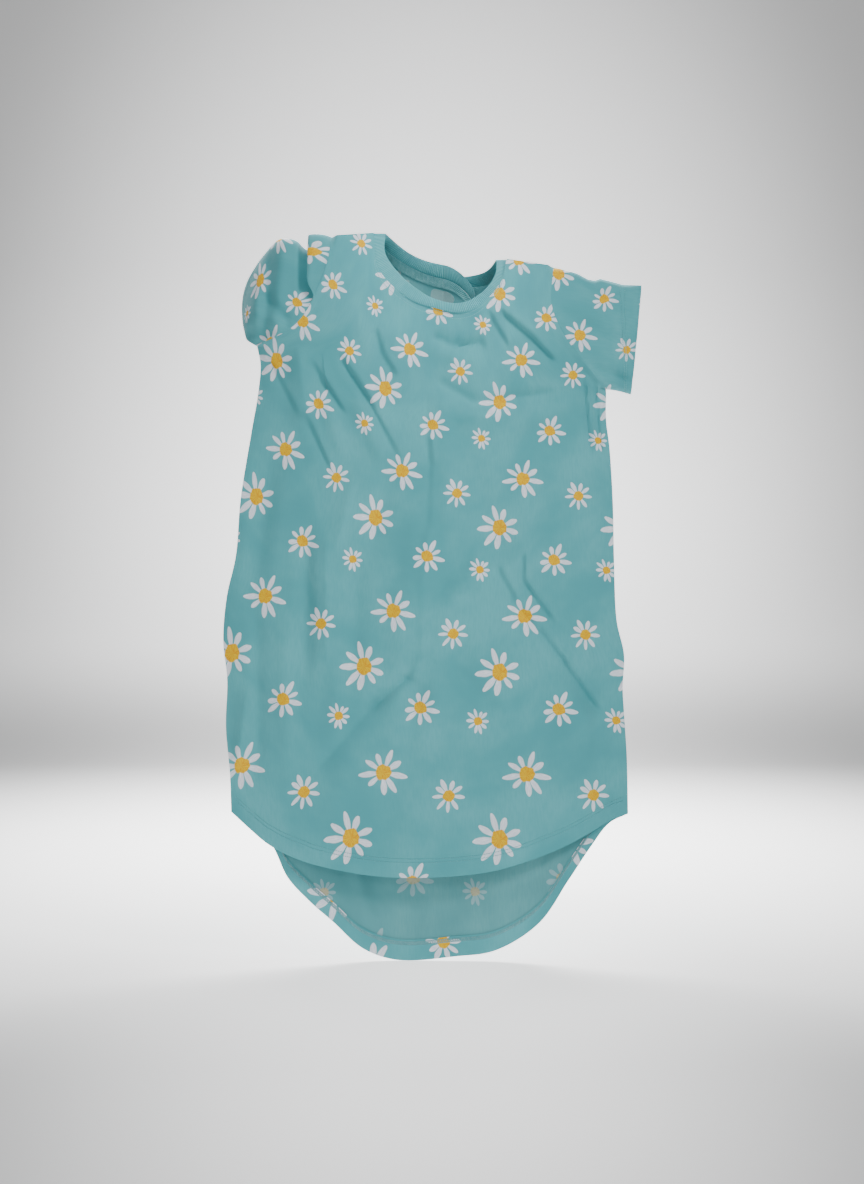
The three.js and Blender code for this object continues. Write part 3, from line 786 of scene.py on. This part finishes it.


# %% [markdown]
# The band is a rib knit: its ridges run across the band and stand further apart than jersey's loops.
# Tapes are a firm cotton twill. Threads are fine twisted polyester with a slight shine. On all of them
# the colour is darker in the grooves between the ridges: painted shade.

# %% Rib, tape, thread and label
def ridges_group():
    """Fine ridges across a direction of the cloth, with uneven yarn in them. The colour share it gives is
    darker in the grooves between the ridges, as painted shade.
    """
    group, given, made = new_group(
        "fine ridges", {"Direction": VECTOR, "Ridges per metre": FLOAT}, {"Shade": FLOAT, "Lift": FLOAT})
    cloth = fact(group, "cloth").outputs["Vector"]
    along = node(group, "ShaderNodeVectorMath", {0: cloth, 1: given.outputs["Direction"]},
                 operation="DOT_PRODUCT")
    turns = maths(group, "MULTIPLY", along.outputs["Value"], given.outputs["Ridges per metre"])
    ridge = maths(group, "SINE", maths(group, "MULTIPLY", turns, 2 * math.pi))
    noise = node(group, "ShaderNodeTexNoise", {"Vector": cloth, "Scale": 130.0, "Detail": 3.0}).outputs[0]
    # Painted shade: darker in the grooves between the ridges, with uneven yarn mixed in.
    shade = between(group, maths(group, "MULTIPLY_ADD", ridge, 0.3, noise), 0.15, 0.85)
    group.links.new(shade, made.inputs["Shade"])
    group.links.new(maths(group, "MULTIPLY_ADD", noise, 0.4, ridge), made.inputs["Lift"])
    return group


FINE_RIDGES = ridges_group()


def ridged(name, pale, deep, direction, pitch, height, roughness, sheen):
    """A cloth or a thread whose ridges lie across one direction, a pitch apart."""
    material, tree, shader = new_material(name, roughness, sheen)
    found = use_group(tree, FINE_RIDGES, {"Direction": direction, "Ridges per metre": 1 / pitch})
    # Pale on the ridges, deep in the grooves: painted shade, mixed with uneven yarn.
    tree.links.new(blended(tree, found.outputs["Shade"], deep, pale), shader.inputs["Base Color"])
    relief = node(tree, "ShaderNodeBump",
                  {"Height": found.outputs["Lift"], "Distance": height, "Strength": 0.9})
    tree.links.new(relief.outputs[0], shader.inputs["Normal"])
    return material


rib = ridged("rib knit", AQUA_PALE, AQUA_DEEP, (1, 0, 0), 2.4 * MM, 0.35 * MM, 0.92, 0.2)
twill = ridged("twill tape", srgb(116, 188, 193), WRONG_SIDE, (1, 0.4, 0), 1.4 * MM, 0.2 * MM, 0.92, 0.2)
label_cloth = ridged(
    "label cloth", srgb(120, 160, 162), LABEL_GREY, (0, 1, 0), 0.9 * MM, 0.1 * MM, 0.85, 0.2)
TWISTED = (1, 0.8, 0), 0.7 * MM, 0.06 * MM, 0.62, 0.1
thread = ridged("sewing thread", THREAD, AQUA_DEEP, *TWISTED)
thread_inside = ridged("overlock thread", srgb(140, 188, 191), srgb(70, 128, 134), *TWISTED)
print("materials:", len(bpy.data.materials))

# %% [markdown]
# Each panel is one cut piece. Its two faces lie half the cloth's thickness either side of the drawn
# sheet. The hem is turned up once to the inside, so it is a second layer, a little apart, with the
# right side of the cloth showing on it.

# %% Panels and their hems
def facts_of(sheet):
    return {"print": print_at(sheet.flat), "cloth": cloth_at(*sheet.edges(), BODY_CLOTH)}


def panel(name, sheet, cad_node):
    faces = sheet.p + sheet.n * CLOTH / 2, sheet.p - sheet.n * CLOTH / 2
    piece = closed(name, *faces, (printed, wrong_side, printed), facts_of(sheet))
    return sewn_on(piece, "jersey", cad_node)


def strip(name, sheet, across, down, low, high, materials, mirror_print=None):
    """A narrow piece that lies on a sheet, between two heights over it."""
    across, down = np.meshgrid(across, down, indexing="ij")
    place, normal, flat = sheet.at(across, down)
    facts = {"cloth": cloth_at(across, down, BODY_CLOTH)}
    if mirror_print is not None:
        flat = flat.copy()
        flat[..., 1] = 2 * mirror_print - flat[..., 1]
        facts["print"] = print_at(flat)
    return closed(name, place + normal * high, place + normal * low, materials, facts)


def length_down(sheet):
    return float(np.linalg.norm(np.diff(sheet.p[len(sheet.p) // 2], axis=0), axis=1).sum())


front_long, back_long = length_down(front), length_down(back)
front_piece = panel("front_panel_cloth", front, "front_panel")
back_piece = panel("back_panel_cloth", back, "back_panel")


def hem_turn(name, sheet, long):
    """The turned-up hem. Its free edge waves a little, as a cut edge does."""
    down = np.linspace(1 - HEM_DEPTH * 1.2 / long, 1, 12)
    across = np.linspace(0.008, 0.992, 150)
    inside = (-CLOTH * 1.9, -CLOTH * 0.8)
    edge = float(sheet.flat[len(sheet.flat) // 2, -1, 1])
    piece = strip(name, sheet, across, down, *inside, (wrong_side, printed, printed), mirror_print=edge)
    return trim_on_gown(piece)


front_hem = hem_turn("front_hem_turn", front, front_long)
back_hem = hem_turn("back_hem_turn", back, back_long)
print("front and back lengths, metres:", round(front_long, 3), round(back_long, 3))

# %% [markdown]
# Hems are sewn with a coverstitch: two rows of straight stitches outside and a looper thread that
# zigzags between them inside. Every stitch is its own short thread, because at this size the light
# catches each one. They are laid on the cloth's own surface, after its folds.

# %% Threads
def threads(name, starts, ends, normals, radius, arch, material):
    """Short threads from start to end, arched over the cloth, as one piece."""
    along = np.array([0.0, 0.14, 0.5, 0.86, 1.0])
    thick = np.array([0.45, 0.95, 1.0, 0.95, 0.45])
    turn = np.arange(6) * np.pi / 3
    run = ends - starts
    side = np.cross(run, normals)
    side /= np.maximum(np.linalg.norm(side, axis=1, keepdims=True), 1e-9)
    middle = starts[:, None] + run[:, None] * along[:, None]
    middle = middle + normals[:, None] * (arch * np.sin(np.pi * along))[:, None]
    spread = side[:, None, None] * np.cos(turn)[:, None] + normals[:, None, None] * np.sin(turn)[:, None]
    points = middle[:, :, None] + spread * (radius * thick)[:, None, None]
    count, rings, sides = len(starts), len(along), len(turn)
    index = np.arange(count * rings * sides).reshape(count, rings, sides)
    after = np.roll(index, -1, axis=2)
    walls = np.stack([index[:, :-1], after[:, :-1], after[:, 1:], index[:, 1:]], axis=-1).reshape(-1, 4)
    ends_ = []
    for ring in (index[:, 0], index[:, -1, ::-1]):
        ends_ += [ring[:, [0, 5, 4, 3]], ring[:, [0, 3, 2, 1]]]
    faces = np.concatenate([walls, *ends_])
    flat = points.reshape(-1, 3)
    length = np.linalg.norm(run, axis=1).mean()
    cloth = np.zeros((count, rings, sides, 3))
    cloth[..., 0] = along[:, None] * length
    cloth[..., 1] = turn * radius
    cloth[..., 2] = np.arange(count)[:, None, None] * 0.013
    return mesh_piece(name, flat, faces, (material,), facts={"cloth": cloth.reshape(-1, 3)})


def path_on(sheet, across, down, height):
    place, normal, _ = sheet.at(across, down)
    return place + normal * height, normal


def resampled(points, normals, pitch):
    run = np.concatenate([[0], np.cumsum(np.linalg.norm(np.diff(points, axis=0), axis=1))])
    count = max(2, int(run[-1] / pitch))
    return [
        lambda share, values=values: np.stack(
            [np.interp(share * run[-1], run, values[:, k]) for k in range(3)], axis=-1)
        for values in (points, normals)
    ] + [count]


def stitch_rows(name, paths, pitch, radius, material, arch=0.25 * MM, filled=0.8):
    """Straight stitches along paths on the cloth."""
    starts, ends, normals = [], [], []
    for points, facing in paths:
        place, outwards, count = resampled(points, facing, pitch)
        share = np.arange(count)
        a = (share + (1 - filled) / 2) / count
        b = (share + (1 + filled) / 2) / count
        starts.append(place(a))
        ends.append(place(b))
        n = outwards((a + b) / 2)
        normals.append(n / np.linalg.norm(n, axis=1, keepdims=True))
    return threads(name, *map(np.concatenate, (starts, ends, normals)), radius, arch, material)


def looper(name, path_a, path_b, pitch, radius, material, arch=0.2 * MM):
    """A thread that crosses from one path to the other and back."""
    place_a, out_a, count = resampled(*path_a, pitch)
    place_b, _, _ = resampled(*path_b, pitch)
    share = np.arange(count + 1) / count
    a, b = place_a(share), place_b(share)
    n = out_a(share)
    n /= np.linalg.norm(n, axis=1, keepdims=True)
    starts = np.concatenate([a[:-1], b[:-1]])
    ends = np.concatenate([b[1:], a[1:]])
    return threads(name, starts, ends, np.concatenate([n[:-1], n[:-1]]), radius, arch, material)


PITCH, THREAD_RADIUS = 3.4 * MM, 0.42 * MM
SHARES = np.linspace(0.012, 0.988, 400)


def hem_paths(sheet, long, height, rows=(HEM_DEPTH - 3 * MM, HEM_DEPTH + 2.5 * MM)):
    return [path_on(sheet, SHARES, 1 - row / long, height) for row in rows]


front_stitches = stitch_rows(
    "front_hem_stitches", hem_paths(front, front_long, CLOTH / 2), PITCH, THREAD_RADIUS, thread)
sewn_on(front_stitches, "thread", "front_hem_stitching")
back_stitches = stitch_rows(
    "back_hem_stitches", hem_paths(back, back_long, CLOTH / 2), PITCH, THREAD_RADIUS, thread)
sewn_on(back_stitches, "thread", "back_hem_stitching")
inside_height = -CLOTH * 2.2
loops = looper("back_hem_looper", *hem_paths(back, back_long, inside_height), PITCH, 0.5 * MM, thread_inside)
trim_on_gown(loops)
inner_rows = stitch_rows("back_hem_inner_rows", hem_paths(back, back_long, inside_height), PITCH,
                         THREAD_RADIUS, thread)
trim_on_gown(inner_rows)

# %% [markdown]
# The neckband is a folded strip of rib, a little shorter than the neckline it is sewn to, so that it
# stands and rolls slightly. It is modelled as one ring with a rounded double edge.

# %% Neckband
BAND_STATIONS, BAND_PROFILE = 150, 14
BAND_THICK = 1.3 * MM


def body_depth(which, x, z):
    """How far the body's cloth stands off the middle plane near its top."""
    middle = 1 - np.abs(2 * shoulder_share(x / MM) - 1) ** 2.2
    return (FRONT_DEPTH if which == "front" else BACK_DEPTH)[0] * middle * shoulder_round(x, z)


def neckband():
    turn = np.linspace(0, 2 * np.pi, BAND_PROFILE, endpoint=False)
    rings = []
    for which, sign in (("front", -1), ("back", 1)):
        shares = np.linspace(0, 1, BAND_STATIONS + 1)
        if which == "back":
            shares = shares[::-1]
        shares = shares[:-1]
        seam = through(NECK_SEAM[which], shares) * MM
        free = through(BAND_EDGE[which], shares) * MM
        middle, half = (seam + free) / 2, (free - seam) / 2 * 1.06
        depth = sign * (body_depth(which, middle[:, 0], middle[:, 1]) + 0.5 * MM)
        steep = 0.30 * smooth(np.minimum(shares, 1 - shares), 0.0, 0.1)
        for k in range(BAND_STATIONS):
            squared = np.abs(np.cos(turn)) ** 0.7 * np.sign(np.cos(turn))
            crown = 0.5 + 0.5 * (1 - squared**2)
            xz = middle[k] + squared[:, None] * half[k]
            lean = -sign * squared * steep[k] * np.linalg.norm(half[k]) * 1.2
            y = depth[k] + lean + sign * np.sin(turn) * BAND_THICK * crown
            rings.append(np.stack([xz[:, 0], y, xz[:, 1]], axis=-1))
    points = np.array(rings)
    behind = np.arange(len(points)) >= BAND_STATIONS
    points[behind] = neck_pleat(points[behind])
    count, sides = points.shape[:2]
    index = np.arange(count * sides).reshape(count, sides)
    on, up = np.roll(index, -1, axis=0), np.roll(index, -1, axis=1)
    faces = np.stack([index, on, np.roll(on, -1, axis=1), up], axis=-1).reshape(-1, 4)
    run = np.cumsum(np.linalg.norm(np.diff(points[:, 0], axis=0, prepend=points[-1:, 0]), axis=1))
    cloth = np.zeros((count, sides, 3))
    cloth[..., 0] = run[:, None]
    cloth[..., 1] = turn * 3 * MM
    piece = mesh_piece("neckband_rib", points.reshape(-1, 3), faces, (rib,),
                       facts={"cloth": cloth.reshape(-1, 3)})
    return sewn_on(piece, "rib", "neckband")


neckband()

# %% [markdown]
# Beside the band the neckline is topstitched in two rows. Inside the back of the neck a tape covers
# the seam, stitched along both edges, and a blank label patch is sewn under it.

# %% Neck stitching, tape and label
NECK_FROM, NECK_TO = shoulder_share(NECK_RIGHT[0]), shoulder_share(NECK_LEFT[0])
NECK_ROWS, NECK_PITCH, NECK_THREAD = (2.4 * MM, 7.4 * MM), 3 * MM, 0.36 * MM


def neck_rows(sheet, long, margin, depths, height):
    shares = np.linspace(NECK_FROM + margin, NECK_TO - margin, 260)
    return [path_on(sheet, shares, depth / long, height) for depth in depths]


front_neck = stitch_rows(
    "neck_stitches_front", neck_rows(front, front_long, 0.006, NECK_ROWS, CLOTH / 2), NECK_PITCH,
    NECK_THREAD, thread)
sewn_on(front_neck, "thread", "neck_topstitch_front")
back_neck = stitch_rows(
    "neck_stitches_back", neck_rows(back, back_long, 0.02, NECK_ROWS, CLOTH / 2), NECK_PITCH,
    NECK_THREAD, thread)
sewn_on(back_neck, "thread", "neck_topstitch_back")

TAPE = (1 * MM, 12 * MM)
tape = strip(
    "back_neck_tape_cloth", back, np.linspace(NECK_FROM + 0.05, NECK_TO - 0.03, 190),
    np.linspace(TAPE[0] / back_long, TAPE[1] / back_long, 5), -CLOTH * 2.2, -CLOTH * 0.6, (twill,) * 3)
sewn_on(tape, "tape", "back_neck_tape")
tape_rows = stitch_rows(
    "neck_tape_stitches", neck_rows(back, back_long, 0.05, (TAPE[0] + 1.6 * MM, TAPE[1] - 1.6 * MM),
                                    -CLOTH * 2.3), NECK_PITCH, THREAD_RADIUS, thread)
trim_on_gown(tape_rows)

LABEL = {"u": 0.5, "width": 30 * MM, "top": 15 * MM, "height": 39 * MM, "corner": 6 * MM}
LABEL_RING = 6.5 * MM   # its radius


def size_label():
    """A small patch with rounded corners and a ring stitched on it, and no words."""
    down = np.linspace(0, 1, 31)
    across = np.linspace(-1, 1, 25)
    from_end = np.minimum(down, 1 - down) * LABEL["height"]
    missing = np.clip(LABEL["corner"] - from_end, 0, None)
    inset = LABEL["corner"] - np.sqrt(LABEL["corner"] ** 2 - missing**2)
    half = LABEL["width"] / 2 - inset
    u = LABEL["u"] + across[:, None] * half[None, :] / SHOULDER_SPAN
    v = np.broadcast_to((LABEL["top"] + down * LABEL["height"]) / back_long, u.shape)
    place, normal, _ = back.at(u, v)
    facts = {"cloth": cloth_at(u, v, (SHOULDER_SPAN, back_long))}
    piece = closed("size_label_blank", place - normal * CLOTH * 0.6, place - normal * CLOTH * 1.1,
                   (label_cloth,) * 3, facts)
    return sewn_on(piece, "label", "size_label")


patch = size_label()
turn = np.linspace(0, 2 * np.pi, 60)
ring_u = LABEL["u"] + LABEL_RING * np.sin(turn) / SHOULDER_SPAN
ring_v = (LABEL["top"] + LABEL["height"] * 0.66 + LABEL_RING * np.cos(turn)) / back_long
label_ring = stitch_rows("label_ring", [path_on(back, ring_u, ring_v, -CLOTH * 1.15)], 2 * MM, 0.3 * MM,
                         thread, filled=0.95)
trim_on_gown(label_ring)

# %% [markdown]
# Inside, the shoulder seams are covered with tape, and the side seams are trimmed and overlocked,
# with a thread that wraps round the cut edge.

# %% Shoulder tapes and side seams
SEAM_PITCH, SEAM_THREAD = 3.2 * MM, 0.45 * MM
for which, span in (("left", (NECK_TO + 0.02, 0.975)), ("right", (0.025, NECK_FROM - 0.02))):
    shoulder = strip(
        f"shoulder_tape_cloth_{which}", back, np.linspace(*span, 24),
        np.linspace(4 * MM / back_long, 11 * MM / back_long, 4), -CLOTH * 1.9, -CLOTH * 0.7, (twill,) * 3)
    sewn_on(shoulder, "tape", f"shoulder_tape_{which}")
    near, far = (0.992, 0.979) if which == "left" else (0.008, 0.021)
    down = np.linspace(ARMHOLE_SHARE + 0.012, 0.985, 260)
    rows = [path_on(back, np.full_like(down, edge), down, -CLOTH * 1.2) for edge in (near, far)]
    seam = looper(f"side_overlock_{which}", *rows, SEAM_PITCH, SEAM_THREAD, thread_inside)
    sewn_on(seam, "thread", f"side_seam_{which}")
    allowance = strip(
        f"side_allowance_{which}", back, np.linspace(near, far, 4), down, -CLOTH * 1.1, -CLOTH * 0.6,
        (wrong_side,) * 3, mirror_print=0.0)
    trim_on_gown(allowance)

# %% [markdown]
# A sleeve is a short tube whose first ring is the armhole's own edge and whose last ring is the cuff.
# Between them the rings turn from one shape into the other. The wearer's left sleeve hangs out flat at
# the side. The right one is turned back behind the shoulder, which puts a sharp fold beside its seam.

# %% Sleeves
RINGS = 84
SLEEVE_REPEAT = (0.160, 0.150, 0.94)
SLEEVES = {
    "left": {
        "tip": SHOULDER_TIP_LEFT, "underarm": UNDERARM_LEFT, "bend": (262, 2, -128),
        "centre": (306, 0, -140), "half": (8, 0, 81), "depth": (0, 15, 0), "edge": -1,
        "daisy": (0.189, -0.042),
    },
    "right": {
        "tip": SHOULDER_TIP_RIGHT, "underarm": UNDERARM_RIGHT, "bend": (-262, 12, -62),
        "centre": (-256, 60, -77), "half": (4, 0, 60), "depth": (34, -5, 0), "edge": 0,
        "daisy": (-0.270, -0.052),
    },
}
LEFT_TOP_LINE = [
    (181, -31), (200, -35), (217, -40), (234, -49), (244, -51), (252, -48), (268, -52), (286, -57),
    (316, -58),
]
SLEEVE_FOLDS = {
    "left": [
        (196, -50, 262, -70, 9, -3.0), (190, -84, 292, -112, 12, 4.0), (200, -110, 300, -150, 9, -4.0),
        (216, -140, 300, -186, 11, 4.0), (236, -180, 300, -205, 7, -5.0), (262, -199, 300, -212, 6, 4.0),
        (230, -44, 300, -66, 10, 3.0), (250, -96, 310, -104, 10, -2.5),
    ],
    "right": [
        (-222, -8, -232, -120, 10, 5.0), (-244, -14, -250, -130, 9, -5.0), (-262, -20, -262, -130, 9, 5.0),
        (-251, -76, -212, -118, 7, -6.0), (-264, -98, -220, -127, 8, 5.0),
        (-288, -126, -224, -148, 12, -10.0),
    ],
}


def unrolled(points, outwards):
    """Places on the sleeve's cloth opened out flat: its back half is turned up over the top fold."""
    steps = np.linalg.norm(np.diff(points[..., :2], axis=1, prepend=points[:, :1, :2]), axis=-1)
    x = points[:, :1, 0] + outwards * np.cumsum(steps, axis=1)
    z = points[..., 2].copy()
    behind = np.arange(len(points)) > len(points) // 2
    z[behind] = 2 * z[0] - z[behind]
    return np.stack([x, z], axis=-1)


def sleeve_print(flat, daisy):
    """The print on a sleeve, from where the middle of one large daisy lies."""
    wide, tall, tall_for_width = SLEEVE_REPEAT
    across = (flat[..., 0] - daisy[0]) / wide
    down = (daisy[1] - flat[..., 1]) / tall
    return np.stack([across, down, np.full_like(across, tall_for_width)], axis=-1)


def sleeve_sheet(which):
    s = SLEEVES[which]
    seam_front = front.p[s["edge"], : ARMHOLE_ROWS + 1]
    seam_back = back.p[s["edge"], ARMHOLE_ROWS - 1 : 0 : -1]
    head = np.concatenate([seam_front, seam_back])[:, None]
    angle = (np.arange(2 * ARMHOLE_ROWS) * np.pi / ARMHOLE_ROWS)[:, None, None]
    along = np.linspace(0, 1, RINGS)[None, :, None]
    tip, underarm = (np.array([x, 0, z]) * MM for x, z in (s["tip"], s["underarm"]))
    centre, half, depth, bend = (np.array(s[key]) * MM for key in ("centre", "half", "depth", "bend"))
    middle = (tip + underarm) / 2
    path = middle * (1 - along) ** 2 + bend * 2 * along * (1 - along) + centre * along**2
    ring = path + mix((tip - underarm) / 2, half, along) * np.cos(angle)
    ring = ring - mix(np.array([0, ARMHOLE_HALF_DEPTH, 0]), depth, along) * np.sin(angle)
    points = mix(head, ring, smooth(along, 0, 0.45))
    flat = unrolled(points, -1 if which == "right" else 1)
    round_angle = np.broadcast_to(angle[..., 0], points.shape[:2])
    share = np.broadcast_to(along[..., 0], points.shape[:2])
    x, z = points[..., 0], points[..., 2]
    facing = np.sin(round_angle)
    free = smooth(share, 0.02, 0.2)
    swell = folded(x, z, SLEEVE_FOLDS[which]) + uneven(x, z + 0.3 * (facing < 0), 21, 0.05, 0.9 * MM)
    points[..., 1] -= swell * free * np.sign(facing) * smooth(np.abs(facing), 0.0, 0.4)
    top = (1 + np.cos(round_angle)) / 2
    if which == "right":
        rise = 5 * MM * bump(x, -0.166, 0.014) - 16 * MM * bump(x, -0.188, 0.010)
        points[..., 2] += top**2 * free * (rise + 16 * MM * bump(x, -0.232, 0.026))
        sideways = smooth(z, -0.105, -0.060) * smooth(share, 0.0, 0.10)
        points = pleated(points, -0.176, 24 * MM, -12 * MM, 0, sideways)
    else:
        wanted = np.interp(points[0, :, 0] / MM, *np.transpose(LEFT_TOP_LINE)) * MM
        points[..., 2] += top**2 * smooth(share, 0, 0.06) * (wanted - points[0, :, 2])
    # Where it is sewn in, the cloth dips into the seam.
    groove = bump(share, 0.0, 0.03) * 1.2 * MM
    points[..., 1] += groove * np.sign(facing)
    round_share = np.arange(2 * ARMHOLE_ROWS) / (2 * ARMHOLE_ROWS)
    return Sheet(points, round_share, np.linspace(0, 1, RINGS), flat, round_=True, flip=which == "right")


def sleeve(which):
    sheet = sleeve_sheet(which)
    facts = {
        "print": sleeve_print(sheet.flat, SLEEVES[which]["daisy"]),
        "cloth": cloth_at(*sheet.edges(), SLEEVE_CLOTH),
    }
    faces = sheet.p + sheet.n * CLOTH / 2, sheet.p - sheet.n * CLOTH / 2
    piece = closed(f"sleeve_cloth_{which}", *faces, (printed, wrong_side, printed), facts, ring=True)
    sewn_on(piece, "jersey", f"sleeve_{which}", sleeve=which)
    return sheet, piece


def ring_path(sheet, share, height):
    round_share = np.linspace(0, 1, 300)
    place, normal, _ = sheet.at(round_share, np.full_like(round_share, share))
    return place + normal * height, normal


def tube_strip(name, sheet, start, end, low, high, materials, daisy):
    """A narrow ring of cloth round a sleeve, between two heights over it."""
    across, down = np.meshgrid(np.arange(128) / 128, np.linspace(start, end, 6), indexing="ij")
    place, normal, flat = sheet.at(across, down)
    facts = {"print": sleeve_print(flat, daisy), "cloth": cloth_at(across, down, SLEEVE_CLOTH)}
    return closed(name, place + normal * high, place + normal * low, materials, facts, ring=True)


sleeve_pieces = {}
for which in ("left", "right"):
    sheet, piece = sleeve(which)
    long = float(np.linalg.norm(np.diff(sheet.p, axis=1), axis=-1).sum(axis=1).mean())
    cuff = tube_strip(f"cuff_turn_{which}", sheet, 1 - CUFF_HEM_DEPTH / long, 1, -CLOTH * 1.9, -CLOTH * 0.8,
                      (wrong_side, printed, printed), SLEEVES[which]["daisy"])
    sewn_on(cuff, "jersey", sleeve=which)
    rows = [ring_path(sheet, 1 - row * MM / long, CLOTH / 2) for row in (20, 25.5)]
    cuff_rows = stitch_rows(f"cuff_stitches_{which}", rows, PITCH, THREAD_RADIUS, thread)
    sewn_on(cuff_rows, "thread", f"cuff_stitching_{which}", sleeve=which)
    rows = [ring_path(sheet, row * MM / long, -CLOTH * 1.1) for row in (1.0, 6.5)]
    armhole = looper(f"armhole_overlock_{which}", *rows, SEAM_PITCH, SEAM_THREAD, thread_inside)
    sewn_on(armhole, "thread", f"armhole_seam_{which}", sleeve=which)
    sleeve_pieces[which] = (piece, cuff, cuff_rows)
    print(which, "sleeve: length", round(long, 3), "area", round(area_of(sheet), 4))

# %% [markdown]
# The areas of the front and back sheets are printed, and each sleeve's cut size is listed. The cloth was
# never stretched to make a fold, so what is measured on the finished piece stays close to the size it
# was cut to.

# %% Cut sizes
print("areas: front", round(area_of(front), 3), "back", round(area_of(back), 3))
for which, size, cut in (("left", (0.36, 0.14), 0.045), ("right", (0.40, 0.16), 0.052)):
    piece, *trim = sleeve_pieces[which]

# %% [markdown]
# The gown is shown the way a shop shows one: square on in a tall frame, over a pale floor that curves
# up into a pale wall. Two narrow soft lamps light the cloth itself, the stronger one from the upper
# right, so that each fold has a gentle shadow on its lower left. A weak one reaches into the neck. The
# lamps over it are for the top edges and for the floor. The paper's light is partly painted: its colour
# is lighter in the middle and darker towards its edges, as painted shade, and it glows a little, as a
# painted pool of light, so that it doesn't need lamps that would also wash the cloth.

# %% Camera, floor and light
CAMERA_DISTANCE = 3.5
VIEW_HEIGHT = 1.776
VIEW_MIDDLE = -0.5175
SENSOR = 36   # millimetres
camera_data = bpy.data.cameras.new("camera")
camera_data.sensor_width = SENSOR
camera_data.sensor_fit = "AUTO"
camera_data.lens = SENSOR * CAMERA_DISTANCE / VIEW_HEIGHT
camera_data.dof.use_dof = False
camera = bpy.data.objects.new("camera", camera_data)
camera.location = (0, -CAMERA_DISTANCE, VIEW_MIDDLE)
camera.rotation_euler = (math.radians(90), 0, 0)
bpy.context.collection.objects.link(camera)
bpy.context.scene.camera = camera


# Painted light on the paper: the lit colours for its middles, the edge colours painted shade towards its
# edges, and a glow that is painted light.
WALL_LIT, WALL_EDGE_PAINTED_SHADE, PAPER_PAINTED_GLOW = srgb(242, 242, 242), srgb(120, 120, 120), 1.95
FLOOR_LIT, FLOOR_EDGE_PAINTED_SHADE = srgb(252, 252, 252), srgb(165, 165, 165)
BLACK, WHITE = srgb(0, 0, 0), srgb(255, 255, 255)


def off_middle(tree, place, location, scale):
    """How far a place is from the middle of an oval patch, as a share of the patch's reach."""
    oval = node(tree, "ShaderNodeMapping", {"Vector": place, "Location": location, "Scale": scale})
    return node(tree, "ShaderNodeVectorMath", {0: oval.outputs[0]}, operation="LENGTH").outputs["Value"]


def backdrop():
    """A floor that curves up into a wall."""
    wall_at, bend, wide = 4.9, 0.9, 9.0
    profile = [(-6.0, 0.0), (wall_at - bend, 0.0)]
    for k in range(1, 17):
        angle = math.pi / 2 * k / 16
        profile.append((wall_at - bend + bend * math.sin(angle), bend - bend * math.cos(angle)))
    profile.append((wall_at, 6.0))
    points = [(side * wide, y, FLOOR + z) for side in (-1, 1) for y, z in profile]
    n = len(profile)
    faces = [(k, k + n, k + n + 1, k + 1) for k in range(n - 1)]
    mesh = bpy.data.meshes.new("backdrop")
    mesh.from_pydata(points, [], faces)
    mesh.polygons.foreach_set("use_smooth", np.ones(len(mesh.polygons), bool))
    material, tree, shader = new_material("studio paper with painted light", 0.85, 0.0)
    place = node(tree, "ShaderNodeTexCoord").outputs["Object"]
    height = node(tree, "ShaderNodeSeparateXYZ", {0: place}).outputs["Z"]
    off_wall = off_middle(tree, place, (0, 0, 0.10), (0.50, 0, 0.32))
    off_floor = off_middle(tree, place, (0, -0.68, 0), (0.66, 0.34, 0))
    off_near = off_middle(tree, place, (0, 0.45, 0), (1.7, 0.55, 0))
    # Painted light and shade: wall and floor are lighter in their middles and darker towards their edges.
    wall = blended(tree, between(tree, off_wall, 0.12, 1.0), WALL_LIT, WALL_EDGE_PAINTED_SHADE)
    floor = blended(tree, between(tree, off_floor, 0.05, 1.1), FLOOR_LIT, FLOOR_EDGE_PAINTED_SHADE)
    paper = blended(tree, between(tree, height, FLOOR, FLOOR + 0.8), floor, wall)
    tree.links.new(paper, shader.inputs["Base Color"])
    # Painted light: the paper glows though it is no lamp, most in two patches on the floor, one before the
    # gown and one behind it, and on the wall as its painted gradient.
    far_glow = maths(tree, "MULTIPLY", between(tree, off_floor, 1.30, 0.05), 0.85)
    glow_share = maths(tree, "MULTIPLY_ADD", between(tree, off_near, 1.0, 0.1), 0.52, far_glow)
    lit = blended(tree, glow_share, BLACK, WHITE)
    glow = blended(tree, between(tree, height, FLOOR, FLOOR + 0.4), lit, wall)
    tree.links.new(glow, shader.inputs["Emission Color"])
    shader.inputs["Emission Strength"].default_value = PAPER_PAINTED_GLOW
    mesh.materials.append(material)
    made = bpy.data.objects.new("backdrop", mesh)
    bpy.context.collection.objects.link(made)


backdrop()


def lamp(name, place, aim, size, power, spread=180):
    """A rectangular soft lamp; a small spread, in degrees, keeps its light in a narrow beam."""
    data = bpy.data.lights.new(name, "AREA")
    data.shape = "RECTANGLE"
    data.size, data.size_y = size
    data.energy = power
    data.spread = math.radians(spread)
    made = bpy.data.objects.new(name, data)
    made.location = place
    made.rotation_euler = (Vector(aim) - Vector(place)).to_track_quat("-Z", "Y").to_euler()
    bpy.context.collection.objects.link(made)


lamp("key", (1.7, -2.4, 1.2), (-0.06, 0, -0.33), (0.7, 0.7), 3.2, 36)
lamp("front", (-0.7, -2.6, 0.2), (0, 0, -0.34), (0.7, 0.7), 1.2, 36)
lamp("neck", (0.0, -1.1, 1.4), (0.0, 0.03, -0.02), (0.2, 0.2), 0.25, 14)
lamp("top", (0, -0.3, 2.0), (0, 0.1, -0.6), (2.0, 1.0), 8)
lamp("floor glow", (0, 1.8, 1.5), (0, 1.1, FLOOR), (2.6, 1.2), 320)

world = bpy.data.worlds.new("studio")
world.use_nodes = True
sky = world.node_tree.nodes["Background"].inputs
sky["Color"].default_value = (0.94, 0.96, 1.0, 1)
sky["Strength"].default_value = 0.35
bpy.context.scene.world = world
